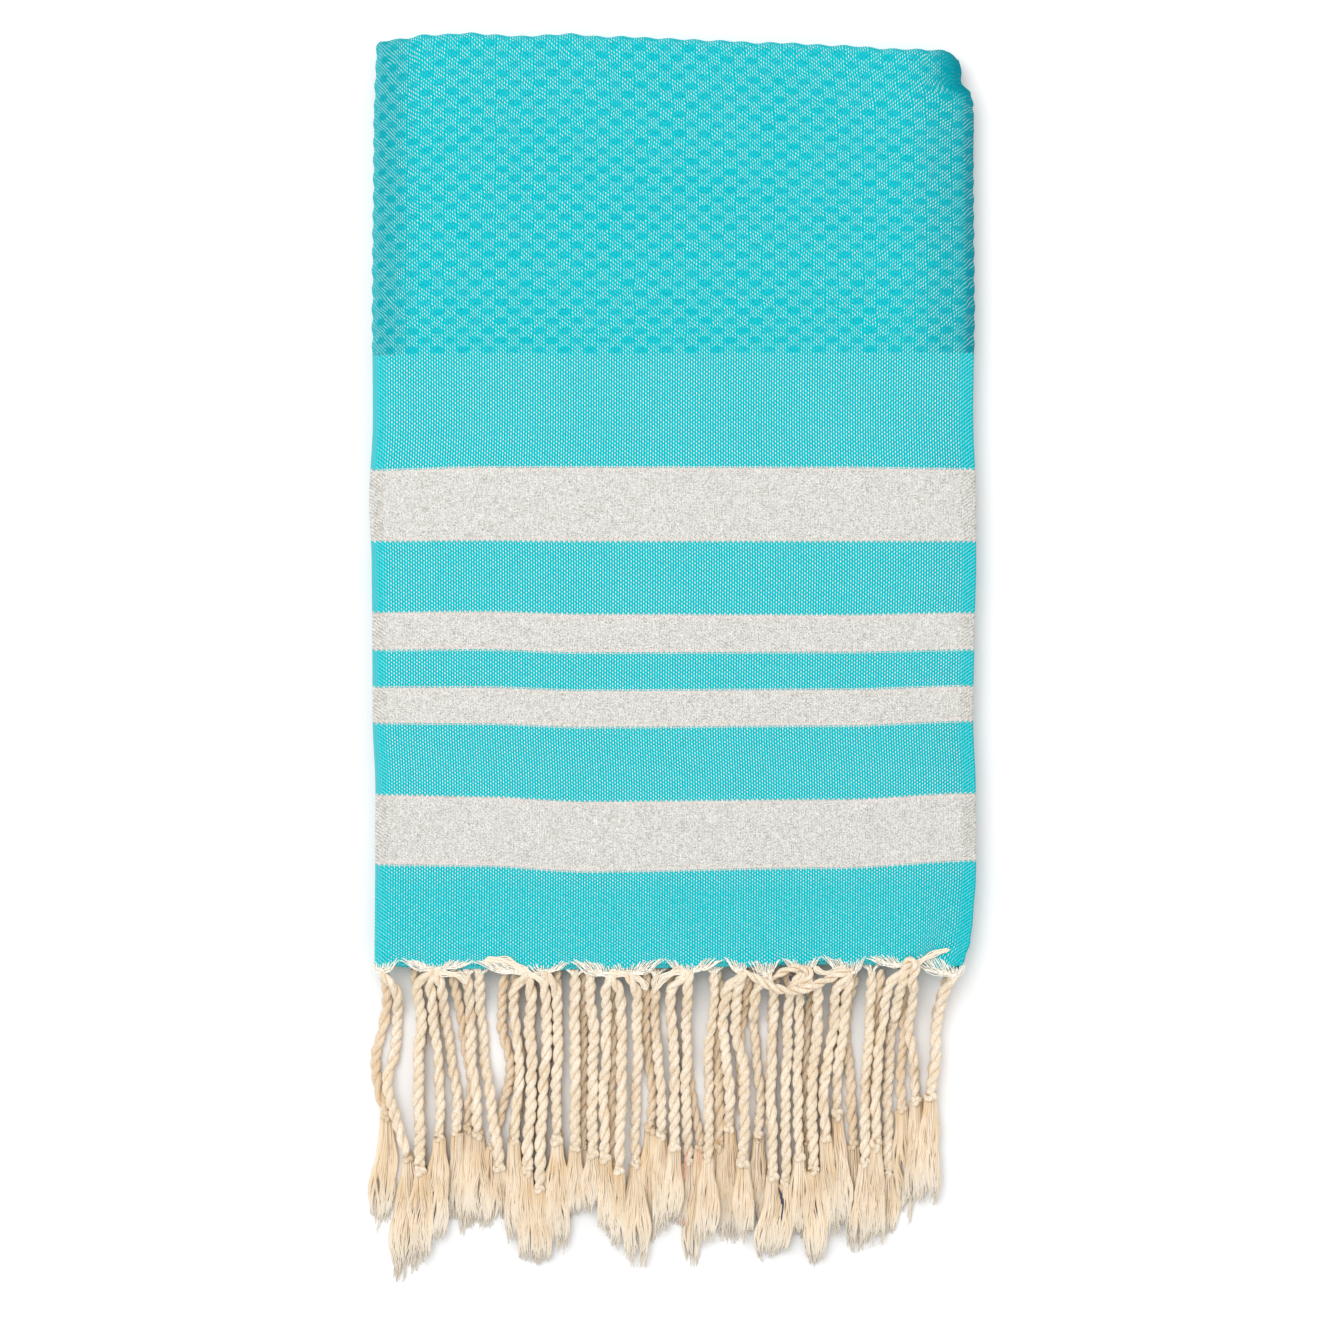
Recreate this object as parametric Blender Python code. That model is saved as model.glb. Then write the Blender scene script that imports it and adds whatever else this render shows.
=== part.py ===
"""A folded hammam towel with a fringe of twisted, knotted cords at both ends.

The cloth is folded in thirds across its width and in quarters along its length, so
that both fringed ends lie together at the front. It lies face up: +X is to the right,
+Y runs to the top fold, -Y to the fringe, and Z = 0 is the surface that it rests on.
"""

import math
from collections import namedtuple

import bmesh
import bpy
from mathutils import Vector

MM = 0.001

# The cloth, and how far apart its layers and its bundles of three layers lie
CLOTH_THICKNESS = 1.0 * MM
LAYER_PITCH = 1.4 * MM
BUNDLE_PITCH = 4.6 * MM
HALF_BUNDLE = LAYER_PITCH + CLOTH_THICKNESS / 2

# Across: a front panel, with a flap folded behind it from each side
PANEL_HALF = 163.7 * MM
LEFT_FLAP = 321.0 * MM
RIGHT_FLAP = 322.0 * MM
CORNER_STEP = 9.0 * MM

# Along: the heights at which the ends and the folds lie
HEM_Y = -167.0 * MM
TOP_FOLD_Y = 333.4 * MM
BOTTOM_FOLD_Y = -158.0 * MM
INNER_FOLD_Y = 306.0 * MM
REAR_Z = HALF_BUNDLE
FRONT_Z = REAR_Z + 3 * BUNDLE_PITCH

# The backing strip that the cords of one end are rooted in
STRIP_GAP = 0.3 * MM
STRIP_DEPTH = 4.5 * MM

# A cord: two plies twisted, then a knot, then a loose tassel
ROOT_WIDTH = 4.4 * MM
CORD_WIDTH = 4.8 * MM
CORD_HEIGHT = 4.2 * MM
CORD_CROWN = 0.62  # width of a cord's top face, as a share of its bottom face
KNOT_WIDTH = 6.0 * MM
KNOT_HEIGHT = 4.8 * MM
KNOT_HALF = 4.5 * MM
NECK_WIDTH = 4.4 * MM
TASSEL_HEIGHT = 3.0 * MM
TIP_HEIGHT = 1.6 * MM
TIP_SHARE = 0.75
FALL_LENGTH = 28.0 * MM
FALL_STEPS = 5
LEVEL_STEPS = 4
LEVEL_DROPS = (0.0, 14.0 * MM, 30.0 * MM, 46.0 * MM, 63.0 * MM)  # below the roots
HIDDEN_SHORTER = 7.0 * MM
CORD_CLEARANCE = 0.35 * MM

# The back end's cords lie on the floor. The front end's lie on it too, but for where
# they cross over the back end's.
FLOOR_Z = 0.0
CROSSING_Z = KNOT_HEIGHT + 0.4 * MM
SPAN_TESTS = 5

Run = namedtuple("Run", "name length turn_deg steps")
Station = namedtuple("Station", "distance place normal")
Drift = namedtuple("Drift", "along shift width")
Dip = namedtuple("Dip", "x down")
Mound = namedtuple("Mound", "x y reach share")
Section = namedtuple("Section", "y x slope width height lift")
Cord = namedtuple(
    "Cord", "layer hem drop_14 drop_30 drop_46 drop_63 knot_x knot_y tip_x tip_y spread"
)

# How far the folded stack drifts sideways and draws in, by the distance along the cloth
DRIFTS = (
    Drift(0.0, -2.2 * MM, 0.984),
    Drift(38 * MM, 0.0, 0.999),
    Drift(300 * MM, 0.2 * MM, 0.999),
    Drift(440 * MM, -0.6 * MM, 0.992),
    Drift(512 * MM, -1.9 * MM, 0.972),
    Drift(580 * MM, -0.8 * MM, 0.992),
    Drift(800 * MM, -1.3 * MM, 1.0),
    Drift(1020 * MM, -1.0 * MM, 1.0),
    Drift(1300 * MM, 0.2 * MM, 1.0),
    Drift(1500 * MM, -0.4 * MM, 0.998),
    Drift(1700 * MM, 1.2 * MM, 1.0),
    Drift(1968 * MM, 0.9 * MM, 0.998),
)

# How far the top edge dips below its highest level, from left to right
TOP_DIPS = (
    Dip(-166 * MM, 4.0 * MM),
    Dip(-158 * MM, 2.6 * MM),
    Dip(-135 * MM, 0.0),
    Dip(-80 * MM, 1.2 * MM),
    Dip(-10 * MM, 2.7 * MM),
    Dip(50 * MM, 5.4 * MM),
    Dip(110 * MM, 8.0 * MM),
    Dip(146 * MM, 9.2 * MM),
    Dip(156 * MM, 12.5 * MM),
    Dip(166 * MM, 21.0 * MM),
)
DIP_STARTS_Y = 200.0 * MM
DIP_FULL_Y = 335.0 * MM

# Where the stack lies a little higher or lower, as a share of its height
MOUNDS = (
    Mound(-95 * MM, 215 * MM, 80 * MM, 0.030),
    Mound(60 * MM, 262 * MM, 60 * MM, -0.030),
    Mound(105 * MM, 120 * MM, 75 * MM, 0.025),
    Mound(-40 * MM, 30 * MM, 85 * MM, -0.025),
    Mound(70 * MM, -85 * MM, 70 * MM, 0.030),
    Mound(-115 * MM, -120 * MM, 55 * MM, -0.020),
)

# Cords that lie on top, from left to right, in millimetres. The front end's cloth
# carries them on its layer a, b or c. drop_14 is the place 14 mm below the hem.
FRONT_CORDS = (
    Cord("a", -153.5, -151.5, -152.0, -154.0, -157.0, -146.5, -274.0, -149.0, -341.0, 9.5),
    Cord("b", -141.5, -139.5, -138.5, -140.0, -140.0, -139.0, -280.0, -138.5, -332.0, 7.5),
    Cord("c", -134.0, -132.5, -131.5, -129.5, -128.5, -128.5, -262.0, -131.0, -323.0, 7.0),
    Cord("a", -127.5, -126.5, -125.0, -122.5, -120.0, -119.0, -259.0, -122.5, -309.0, 4.5),
    Cord("b", -113.0, -112.0, -111.5, -111.0, -109.0, -107.5, -261.0, -108.5, -315.5, 7.5),
    Cord("c", -106.5, -106.0, -105.5, -104.0, -101.5, -95.5, -278.0, -93.5, -307.0, 4.0),
    Cord("b", -86.5, -87.5, -87.0, -84.5, -85.0, -87.5, -264.0, -87.0, -319.0, 5.5),
    Cord("a", -78.5, -78.0, -79.0, -78.0, -78.0, -80.5, -280.5, -79.5, -331.5, 7.5),
    Cord("a", -71.5, -70.0, -69.5, -70.0, -71.5, -73.5, -290.0, -71.5, -333.0, 5.5),
    Cord("c", -64.0, -64.0, -63.5, -63.5, -64.5, -64.0, -263.0, -63.5, -325.5, 8.0),
    Cord("b", -54.0, -54.0, -54.5, -54.0, -54.0, -54.0, -267.5, -55.0, -307.0, 6.0),
    Cord("c", -45.5, -45.5, -44.0, -44.0, -44.5, -44.5, -270.5, -45.5, -303.5, 6.5),
    Cord("a", -38.0, -37.0, -37.0, -37.0, -38.5, -37.5, -273.0, -37.0, -316.5, 5.5),
    Cord("b", -30.0, -29.0, -28.5, -28.5, -28.5, -30.0, -280.0, -30.0, -323.0, 5.5),
    Cord("a", -21.0, -20.0, -20.0, -19.5, -20.5, -21.0, -277.5, -20.5, -332.0, 8.5),
    Cord("c", -9.5, -10.0, -10.0, -8.5, -7.0, -6.5, -261.0, -7.5, -314.5, 5.0),
    Cord("b", -0.5, -1.5, -1.0, 0.5, 0.5, 0.5, -267.0, -1.0, -311.0, 5.5),
    Cord("a", 8.0, 7.5, 7.0, 7.5, 6.5, 8.0, -276.0, 5.5, -314.5, 5.0),
    Cord("b", 22.0, 22.5, 20.5, 19.0, 19.5, 19.0, -273.0, 17.5, -321.0, 7.0),
    Cord("c", 29.0, 28.5, 27.0, 29.0, 30.5, 31.0, -257.5, 31.0, -320.5, 6.5),
    Cord("a", 35.5, 34.5, 34.0, 37.5, 39.0, 38.5, -275.5, 38.5, -319.0, 6.0),
    Cord("a", 45.5, 44.5, 44.5, 45.5, 47.5, 47.0, -262.0, 45.0, -313.5, 5.0),
    Cord("b", 55.5, 55.0, 54.5, 54.0, 53.5, 54.5, -283.0, 50.0, -330.5, 6.0),
    Cord("c", 63.0, 63.5, 62.5, 62.5, 61.5, 61.5, -287.0, 57.5, -328.5, 6.0),
    Cord("a", 69.5, 69.5, 69.0, 68.5, 68.0, 69.0, -272.0, 69.0, -318.0, 6.5),
    Cord("b", 79.0, 79.0, 79.0, 77.5, 76.0, 77.0, -280.0, 78.5, -334.0, 7.5),
    Cord("c", 89.5, 88.5, 88.0, 85.0, 82.5, 83.5, -262.0, 88.0, -315.5, 5.0),
    Cord("a", 96.0, 94.5, 93.5, 91.0, 90.0, 90.0, -250.0, 94.5, -315.5, 5.0),
    Cord("b", 108.5, 108.0, 107.5, 106.5, 105.5, 105.0, -275.5, 103.0, -323.0, 7.0),
    Cord("c", 119.5, 116.5, 114.5, 112.5, 111.5, 111.0, -266.0, 110.5, -322.0, 6.0),
    Cord("b", 126.0, 123.0, 120.5, 119.0, 118.0, 118.0, -281.5, 118.0, -318.0, 6.0),
    Cord("c", 131.5, 131.0, 129.5, 131.5, 133.5, 133.5, -242.5, 132.5, -302.5, 6.0),
    Cord("a", 151.5, 147.0, 144.5, 144.0, 142.0, 141.5, -239.0, 140.0, -298.0, 6.5),
)

# Cords of the back end that show beside or between those on top
BACK_CORDS = (
    Cord("a", -158.5, -157.0, -160.0, -163.5, -163.0, -158.0, -251.0, -161.5, -314.5, 7.5),
    Cord("b", -121.5, -118.5, -116.5, -113.5, -111.5, -113.5, -257.5, -115.5, -314.5, 5.0),
    Cord("c", -92.5, -94.0, -94.5, -90.5, -91.0, -99.5, -267.5, -101.5, -313.5, 5.0),
    Cord("a", -49.5, -49.0, -49.5, -49.5, -49.5, -49.5, -267.5, -49.0, -302.5, 5.5),
    Cord("b", -33.5, -33.0, -33.0, -33.5, -34.0, -34.0, -279.5, -33.5, -320.0, 5.0),
    Cord("c", -15.0, -15.5, -15.5, -14.0, -11.5, -12.5, -257.5, -13.5, -328.5, 6.5),
    Cord("a", 8.0, 7.5, 7.0, 7.5, 9.0, 14.5, -268.0, 9.5, -336.5, 6.0),
    Cord("b", 24.0, 25.5, 25.0, 24.5, 25.5, 24.5, -267.5, 23.0, -320.0, 4.5),
    Cord("c", 41.0, 40.0, 37.0, 36.5, 37.5, 39.5, -278.5, 38.5, -316.5, 5.0),
    Cord("a", 75.5, 75.0, 73.5, 73.0, 72.5, 74.0, -265.5, 75.0, -314.5, 5.0),
    Cord("b", 99.0, 96.5, 94.5, 96.0, 97.5, 99.0, -266.5, 100.0, -326.5, 6.5),
    Cord("c", 113.5, 112.5, 112.5, 112.0, 111.5, 109.0, -278.5, 107.0, -322.0, 5.0),
    Cord("a", 125.5, 126.5, 127.0, 126.0, 125.0, 125.5, -247.0, 128.0, -309.0, 6.5),
)


def ahead(heading):
    return Vector((math.cos(heading), math.sin(heading)))


def left_of(heading):
    return Vector((-math.sin(heading), math.cos(heading)))


def straight(name, length, steps):
    return Run(name, length, 0.0, steps)


def fold(name, radius, turn_deg, steps):
    return Run(name, radius * math.radians(abs(turn_deg)), turn_deg, steps)


def walk(start, heading_deg, runs):
    """A station at each step of a path made of straight runs and round folds."""
    place = Vector(start)
    heading = math.radians(heading_deg)
    distance = 0.0
    stations = [Station(distance, place.copy(), left_of(heading))]
    for run in runs:
        step = run.length / run.steps
        turn = math.radians(run.turn_deg) / run.steps
        chord = step * math.sin(turn / 2) / (turn / 2) if turn else step
        for _ in range(run.steps):
            place += chord * ahead(heading + turn / 2)
            heading += turn
            distance += step
            stations.append(Station(distance, place.copy(), left_of(heading)))
    return stations


def thirds(flap_steps, panel_steps):
    """The section across: flap b behind the panel a, and flap c behind them both."""
    panel = 2 * (PANEL_HALF - CORNER_STEP)
    runs = (
        straight("flap b", LEFT_FLAP, flap_steps),
        fold("left fold", LAYER_PITCH / 2, -180, 4),
        straight("left corner", CORNER_STEP, 1),
        straight("panel a", panel, panel_steps),
        straight("right corner", CORNER_STEP, 1),
        fold("right fold", LAYER_PITCH, -180, 5),
        straight("flap c", RIGHT_FLAP, flap_steps),
    )
    return walk((LEFT_FLAP - PANEL_HALF, 0.0), 180, runs)


def quarters():
    """The section along: down the front, round the stack, and back inside it."""
    runs = (
        straight("front", TOP_FOLD_Y - HEM_Y, 8),
        fold("top fold", 1.5 * BUNDLE_PITCH, -180, 8),
        straight("rear", TOP_FOLD_Y - BOTTOM_FOLD_Y, 6),
        fold("bottom fold", BUNDLE_PITCH / 2, -180, 6),
        straight("inner rear", INNER_FOLD_Y - BOTTOM_FOLD_Y, 6),
        fold("inner fold", BUNDLE_PITCH / 2, 180, 6),
        straight("inner front", INNER_FOLD_Y - HEM_Y, 6),
    )
    return walk((HEM_Y, FRONT_Z), 0, runs)


def smooth_step(share):
    share = min(max(share, 0.0), 1.0)
    return share * share * (3 - 2 * share)


def eased(rows, at):
    """The row of a table at a value of its first column, eased between its rows."""
    if at <= rows[0][0]:
        return rows[0]
    for low, high in zip(rows, rows[1:]):
        if at <= high[0]:
            share = smooth_step((at - low[0]) / (high[0] - low[0]))
            return type(low)(*(a + (b - a) * share for a, b in zip(low, high)))
    return rows[-1]


def settled(x, y, z, distance):
    """The true place of a point of the folded stack, uneven as a real one is."""
    drift = eased(DRIFTS, distance)
    x = x * drift.width + drift.shift
    reach = smooth_step((y - DIP_STARTS_Y) / (DIP_FULL_Y - DIP_STARTS_Y))
    y -= reach * eased(TOP_DIPS, x).down
    rise = 1.0
    for mound in MOUNDS:
        away = ((x - mound.x) ** 2 + (y - mound.y) ** 2) / mound.reach**2
        rise += mound.share * math.exp(-away)
    return Vector((x, y, z * rise))


def folded(across, along, offset):
    """Where a point of the cloth lies once folded, offset from the cloth's middle."""
    x, rise = across.place + offset * across.normal
    y, z = along.place + rise * along.normal
    return settled(x, y, z, along.distance)


def cloth_body(across, along):
    """A closed slab of cloth with a point at each pair of stations, folded."""
    body = bmesh.new()
    columns = len(across) - 1
    rows = len(along) - 1
    bmesh.ops.create_grid(body, x_segments=columns, y_segments=rows, size=1.0)
    upper = bmesh.ops.extrude_face_region(body, geom=body.faces[:])["geom"]
    upper_points = [part for part in upper if isinstance(part, bmesh.types.BMVert)]
    bmesh.ops.translate(body, verts=upper_points, vec=(0.0, 0.0, 1.0))
    for point in body.verts:
        column = round((point.co.x + 1) / 2 * columns)
        row = round((point.co.y + 1) / 2 * rows)
        offset = (point.co.z - 0.5) * CLOTH_THICKNESS
        point.co = folded(across[column], along[row], offset)
    return body


def between(low, high, share):
    return low + (high - low) * share


def cord_points(cord):
    """The places of a cord as (y, x) pairs in metres, from its root to its tip."""
    root_y = HEM_Y - STRIP_GAP - STRIP_DEPTH
    places = (cord.hem, cord.drop_14, cord.drop_30, cord.drop_46, cord.drop_63)
    points = [(root_y - drop, x * MM) for drop, x in zip(LEVEL_DROPS, places)]
    if points[-1][0] - cord.knot_y * MM < 2 * KNOT_HALF:
        points.pop()
    points.append((cord.knot_y * MM, cord.knot_x * MM))
    points.append((cord.tip_y * MM, cord.tip_x * MM))
    return points


def cord_place(points, y):
    """The x and the slope dx/dy at a height y, on a smooth curve through the points."""
    slopes = []
    for i in range(len(points)):
        before = points[max(i - 1, 0)]
        after = points[min(i + 1, len(points) - 1)]
        slopes.append((after[1] - before[1]) / (after[0] - before[0]))
    for i in range(len(points) - 1):
        (y0, x0), (y1, x1) = points[i], points[i + 1]
        if y >= y1 or i == len(points) - 2:
            span = y1 - y0
            t = (y - y0) / span
            a = x0 * (1 + 2 * t) * (1 - t) ** 2 + x1 * t**2 * (3 - 2 * t)
            b = slopes[i] * t * (1 - t) ** 2 + slopes[i + 1] * t**2 * (t - 1)
            da = 6 * t * (t - 1) * (x0 - x1) / span
            db = slopes[i] * (1 - t) * (1 - 3 * t) + slopes[i + 1] * t * (3 * t - 2)
            return a + b * span, da + db
    return points[-1][1], 0.0


def cord_sections(cord):
    """A cord's sections below its root. lift is 1 at the root's level and 0 at rest."""
    points = cord_points(cord)
    root_y = points[0][0]
    level_y = root_y - FALL_LENGTH
    knot_y, tip_y = cord.knot_y * MM, cord.tip_y * MM
    spread = cord.spread * MM
    sizes = []
    for step in range(1, FALL_STEPS + 1):
        share = smooth_step(step / FALL_STEPS)
        width = between(ROOT_WIDTH, CORD_WIDTH, share)
        height = between(CLOTH_THICKNESS, CORD_HEIGHT, share)
        sizes.append((root_y - FALL_LENGTH * step / FALL_STEPS, width, height, 1 - share))
    for step in range(1, LEVEL_STEPS + 1):
        y = between(level_y, knot_y + KNOT_HALF, step / LEVEL_STEPS)
        sizes.append((y, CORD_WIDTH, CORD_HEIGHT, 0.0))
    sizes.append((knot_y, KNOT_WIDTH, KNOT_HEIGHT, 0.0))
    neck_y = knot_y - KNOT_HALF
    sizes.append((neck_y, NECK_WIDTH, CORD_HEIGHT, 0.0))
    sizes.append((between(neck_y, tip_y, 0.45), between(NECK_WIDTH, spread, 0.75), TASSEL_HEIGHT, 0.0))
    sizes.append((between(neck_y, tip_y, 0.85), spread, between(TIP_HEIGHT, TASSEL_HEIGHT, 0.5), 0.0))
    sizes.append((tip_y, TIP_SHARE * spread, TIP_HEIGHT, 0.0))
    sections = []
    for y, width, height, lift in sizes:
        x, slope = cord_place(points, y)
        sections.append(Section(y, x, slope, width, height, lift))
    return sections


def section_at(sections, y):
    """The section of a cord at a height y, or nothing where the cord doesn't reach."""
    for low, high in zip(sections, sections[1:]):
        if high.y <= y <= low.y:
            share = (y - low.y) / (high.y - low.y)
            return Section(*(between(a, b, share) for a, b in zip(low, high)))
    return None


def side_room(section, other):
    """The room beside a cord's section, up to another cord."""
    beside = section_at(other, section.y)
    if beside is None:
        return math.inf
    lean = math.hypot(1.0, max(abs(section.slope), abs(beside.slope)))
    return abs(section.x - beside.x) - lean * (section.width + beside.width) / 2


def side_gap(one, other):
    """The least room between two cords, at the heights of their sections."""
    rooms = [side_room(section, other) for section in one]
    return min(rooms + [side_room(section, one) for section in other])


def hidden_cords():
    """Cords of the back end that lie unseen right under one of the front end's."""
    seen = [cord_sections(cord) for cord in BACK_CORDS]
    hidden = []
    for cord in FRONT_CORDS:
        under = cord._replace(tip_y=cord.tip_y + HIDDEN_SHORTER / MM)
        sections = cord_sections(under)
        if all(side_gap(sections, other) > CORD_CLEARANCE for other in seen):
            hidden.append(under)
    return tuple(hidden)


def root_station(cord, x, drift):
    """The station across the cloth that comes to lie at x on the cord's layer."""
    x = (x - drift.shift) / drift.width
    left_fold = math.pi * LAYER_PITCH / 2
    right_fold = math.pi * LAYER_PITCH
    panel_start = LEFT_FLAP + left_fold
    if cord.layer == "a":
        distance = panel_start + x + PANEL_HALF
        return Station(distance, Vector((x, LAYER_PITCH)), Vector((0.0, 1.0)))
    if cord.layer == "b":
        distance = LEFT_FLAP - PANEL_HALF - x
        return Station(distance, Vector((x, 0.0)), Vector((0.0, -1.0)))
    distance = panel_start + 2 * PANEL_HALF + right_fold + PANEL_HALF - x
    return Station(distance, Vector((x, -LAYER_PITCH)), Vector((0.0, -1.0)))


def rest_heights(sections, lower_cords):
    """Where each section of a cord rests: on the floor, or over a cord that it crosses."""
    heights = [FLOOR_Z] * len(sections)
    for i in range(len(sections) - 1):
        for test in range(SPAN_TESTS + 1):
            y = between(sections[i].y, sections[i + 1].y, test / SPAN_TESTS)
            here = section_at(sections, y)
            if any(side_room(here, lower) < CORD_CLEARANCE for lower in lower_cords):
                heights[i] = heights[i + 1] = CROSSING_Z
    return heights


def grow_cord(body, root, sections, heights):
    """Draws a cord out of its root face, section by section."""
    low = min(point.co.z for point in root.verts)
    middle = root.calc_center_median()
    corners = [
        (point.co.x > middle.x, point.co.z > middle.z) for point in root.verts
    ]
    for section, rest in zip(sections, heights):
        root = bmesh.ops.extrude_discrete_faces(body, faces=[root])["faces"][0]
        floor = between(rest, low, section.lift)
        side = Vector((1.0, -section.slope, 0.0)).normalized()
        for point, (is_right, is_upper) in zip(root.verts, corners):
            half = section.width / 2 * (CORD_CROWN if is_upper else 1.0)
            reach = side * (half if is_right else -half)
            height = section.height if is_upper else 0.0
            point.co = Vector((section.x, section.y, floor + height)) + reach


def fringe_body(end, outward, cords, lower_cords):
    """A backing strip parted from one end of the cloth, with its cords drawn out of it."""
    drift = eased(DRIFTS, end.distance)
    across = thirds(1, 1)
    roots = []
    for cord in cords:
        roots.append(root_station(cord, cord.hem * MM, drift))
        for side in (-0.5, 0.5):
            x = cord.hem * MM + side * ROOT_WIDTH
            across.append(root_station(cord, x, drift))
    across.sort(key=lambda station: station.distance)
    along = [
        end._replace(place=end.place + outward * reach)
        for reach in (STRIP_GAP, STRIP_GAP + STRIP_DEPTH)
    ]
    body = cloth_body(across, along)
    for cord, root in zip(cords, roots):
        target = folded(root, along[1], 0.0)
        face = min(body.faces, key=lambda f: (f.calc_center_median() - target).length)
        sections = cord_sections(cord)
        grow_cord(body, face, sections, rest_heights(sections, lower_cords))
    return body


def principled(name, colour, roughness):
    material = bpy.data.materials.new(name)
    material.use_nodes = True
    shader = material.node_tree.nodes["Principled BSDF"]
    shader.inputs["Base Color"].default_value = (*colour, 1.0)
    shader.inputs["Roughness"].default_value = roughness
    shader.inputs["Metallic"].default_value = 0.0
    return material


def add_object(name, body, material):
    bmesh.ops.recalc_face_normals(body, faces=body.faces[:])
    mesh = bpy.data.meshes.new(name)
    body.to_mesh(mesh)
    body.free()
    mesh.materials.append(material)
    made = bpy.data.objects.new(name, mesh)
    bpy.context.scene.collection.objects.link(made)


def build():
    for old in list(bpy.data.objects):
        bpy.data.objects.remove(old, do_unlink=True)
    along = quarters()
    turquoise = principled("turquoise_weave", (0.0, 0.49, 0.53), 0.9)
    add_object("towel", cloth_body(thirds(4, 5), along), turquoise)

    outward = Vector((-1.0, 0.0))  # both ends point down, towards -Y
    cream = principled("cream_cotton", (0.80, 0.70, 0.55), 0.95)
    back_cords = BACK_CORDS + hidden_cords()
    lower_cords = [cord_sections(cord) for cord in back_cords]
    front = fringe_body(along[0], outward, FRONT_CORDS, lower_cords)
    add_object("fringe_front", front, cream)
    pale = principled("cream_cotton_back", (0.76, 0.66, 0.51), 0.95)
    add_object("fringe_back", fringe_body(along[-1], outward, back_cords, ()), pale)


build()
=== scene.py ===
"""The dressed hammam towel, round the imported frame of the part.

The cloth is woven turquoise, with a honeycomb field and four silvery bands. Its warp
threads gather at the hem into twisted two-ply cords, which end in knots and tassels.
"""

import math
import random
from collections import namedtuple

import bmesh
import bpy
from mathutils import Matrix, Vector, noise

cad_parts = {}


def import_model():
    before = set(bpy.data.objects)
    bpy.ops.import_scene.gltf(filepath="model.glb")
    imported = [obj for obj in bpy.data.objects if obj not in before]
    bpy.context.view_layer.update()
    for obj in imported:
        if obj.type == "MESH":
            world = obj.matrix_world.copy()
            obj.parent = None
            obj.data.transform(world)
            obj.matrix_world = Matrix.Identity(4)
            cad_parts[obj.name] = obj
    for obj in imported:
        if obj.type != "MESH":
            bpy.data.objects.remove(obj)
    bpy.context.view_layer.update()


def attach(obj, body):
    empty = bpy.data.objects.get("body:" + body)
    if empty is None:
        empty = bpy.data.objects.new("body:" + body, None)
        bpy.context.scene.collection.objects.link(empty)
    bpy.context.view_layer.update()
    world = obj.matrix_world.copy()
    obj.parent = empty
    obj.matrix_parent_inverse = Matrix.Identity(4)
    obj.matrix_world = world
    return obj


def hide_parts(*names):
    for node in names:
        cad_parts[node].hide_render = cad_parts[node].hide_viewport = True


MM = 0.001

# The cloth as its solid is folded
CLOTH_THICKNESS = 1.0 * MM
LAYER_PITCH = 1.4 * MM
BUNDLE_PITCH = 4.6 * MM
HALF_BUNDLE = LAYER_PITCH + CLOTH_THICKNESS / 2
PANEL_HALF = 163.7 * MM
LEFT_FLAP = 321 * MM
RIGHT_FLAP = 322 * MM
CORNER_STEP = 9 * MM
HEM_Y = -167 * MM
HEM_BAND = 14 * MM
TOP_FOLD_Y = 333.4 * MM
BOTTOM_FOLD_Y = -158 * MM
INNER_FOLD_Y = 306 * MM
REAR_Z = HALF_BUNDLE
INNER_Z = REAR_Z + 2 * BUNDLE_PITCH
FRONT_Z = REAR_Z + 3 * BUNDLE_PITCH
FRONT_TOP = FRONT_Z + HALF_BUNDLE
PANEL_START_U = LEFT_FLAP + math.pi * LAYER_PITCH / 2
PANEL_MIDDLE_U = PANEL_START_U + PANEL_HALF
PANEL_END_U = PANEL_MIDDLE_U + PANEL_HALF

# The fringe as its solids are laid
STRIP_GAP = 0.3 * MM
STRIP_DEPTH = 4.5 * MM
ROOT_Y = HEM_Y - STRIP_GAP - STRIP_DEPTH
ROOT_WIDTH = 4.4 * MM
CORD_WIDTH = 4.8 * MM
KNOT_WIDTH = 6 * MM
KNOT_HALF = 4.5 * MM
NECK_WIDTH = 4.4 * MM
TIP_SHARE = 0.75
FALL_LENGTH = 28 * MM
FALL_STEPS = 5
LEVEL_STEPS = 4
LEVEL_DROPS = (0, 14 * MM, 30 * MM, 46 * MM, 63 * MM)
HIDDEN_SHORTER = 7 * MM
CORD_CLEARANCE = 0.35 * MM
CROSSING_Z = 5.2 * MM  # how high a cord rests where it crosses another
SPAN_TESTS = 5

# The weave, flat: dot columns, honeycomb cells, and the bands up from either hem
CELL_WIDTH = 6.98 * MM
CELL_COLUMNS = 5  # dot columns in the width of a cell
CELL_DRAW = 0.06  # how far the honeycomb weave draws a cell's dots together
CELL_REPEAT = 10.3 * MM
LEFT_TURN = 20 * MM  # how far in from the side folds the field's weave is drawn together
RIGHT_TURN = 12 * MM
LEFT_DRAW = 14
RIGHT_DRAW = 6
WANDER = 2.6 * MM  # how unevenly the field's threads run
ROWS_A_METRE = 535
CLOSER_ROWS = 110  # how much closer the dots' rows lie towards the hems
CLOSER_UP_TO = 0.30
HONEYCOMB_START = 335 * MM
FIRST_SOLID = 342.75 * MM  # middle of the first solid place of every other column
CELL_RELIEF = 0.28 * MM
RELIEF_STARTS_IN = 4 * MM  # over what length the cells' relief starts, and then ends
RELIEF_ENDS_IN = 10 * MM
FIELD_ENDS = 497 * MM
EDGE_BUMP = 0.45 * MM  # how far the cells stand out at the side folds
EDGE_STARTS_IN = 6 * MM
EDGE_ENDS_IN = 8 * MM
SIDE_REACH = 9 * MM  # how far from the middle of a side fold its bumps are felt
FOLD_ENDS = 520 * MM  # about where the top fold has turned to the rear
TOP_RIPPLE = 0.8 * MM
RIPPLE_STARTS = 488 * MM  # where along the cloth the ripple starts, and how fast
RIPPLE_STARTS_IN = 16 * MM
RIPPLE_ENDS_IN = 14 * MM
PANEL_TURNS = 524 * MM  # where the front has turned over the top fold
BROAD_SLACK = 0.55 * MM  # how high the shallow waves of the cloth are
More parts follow.
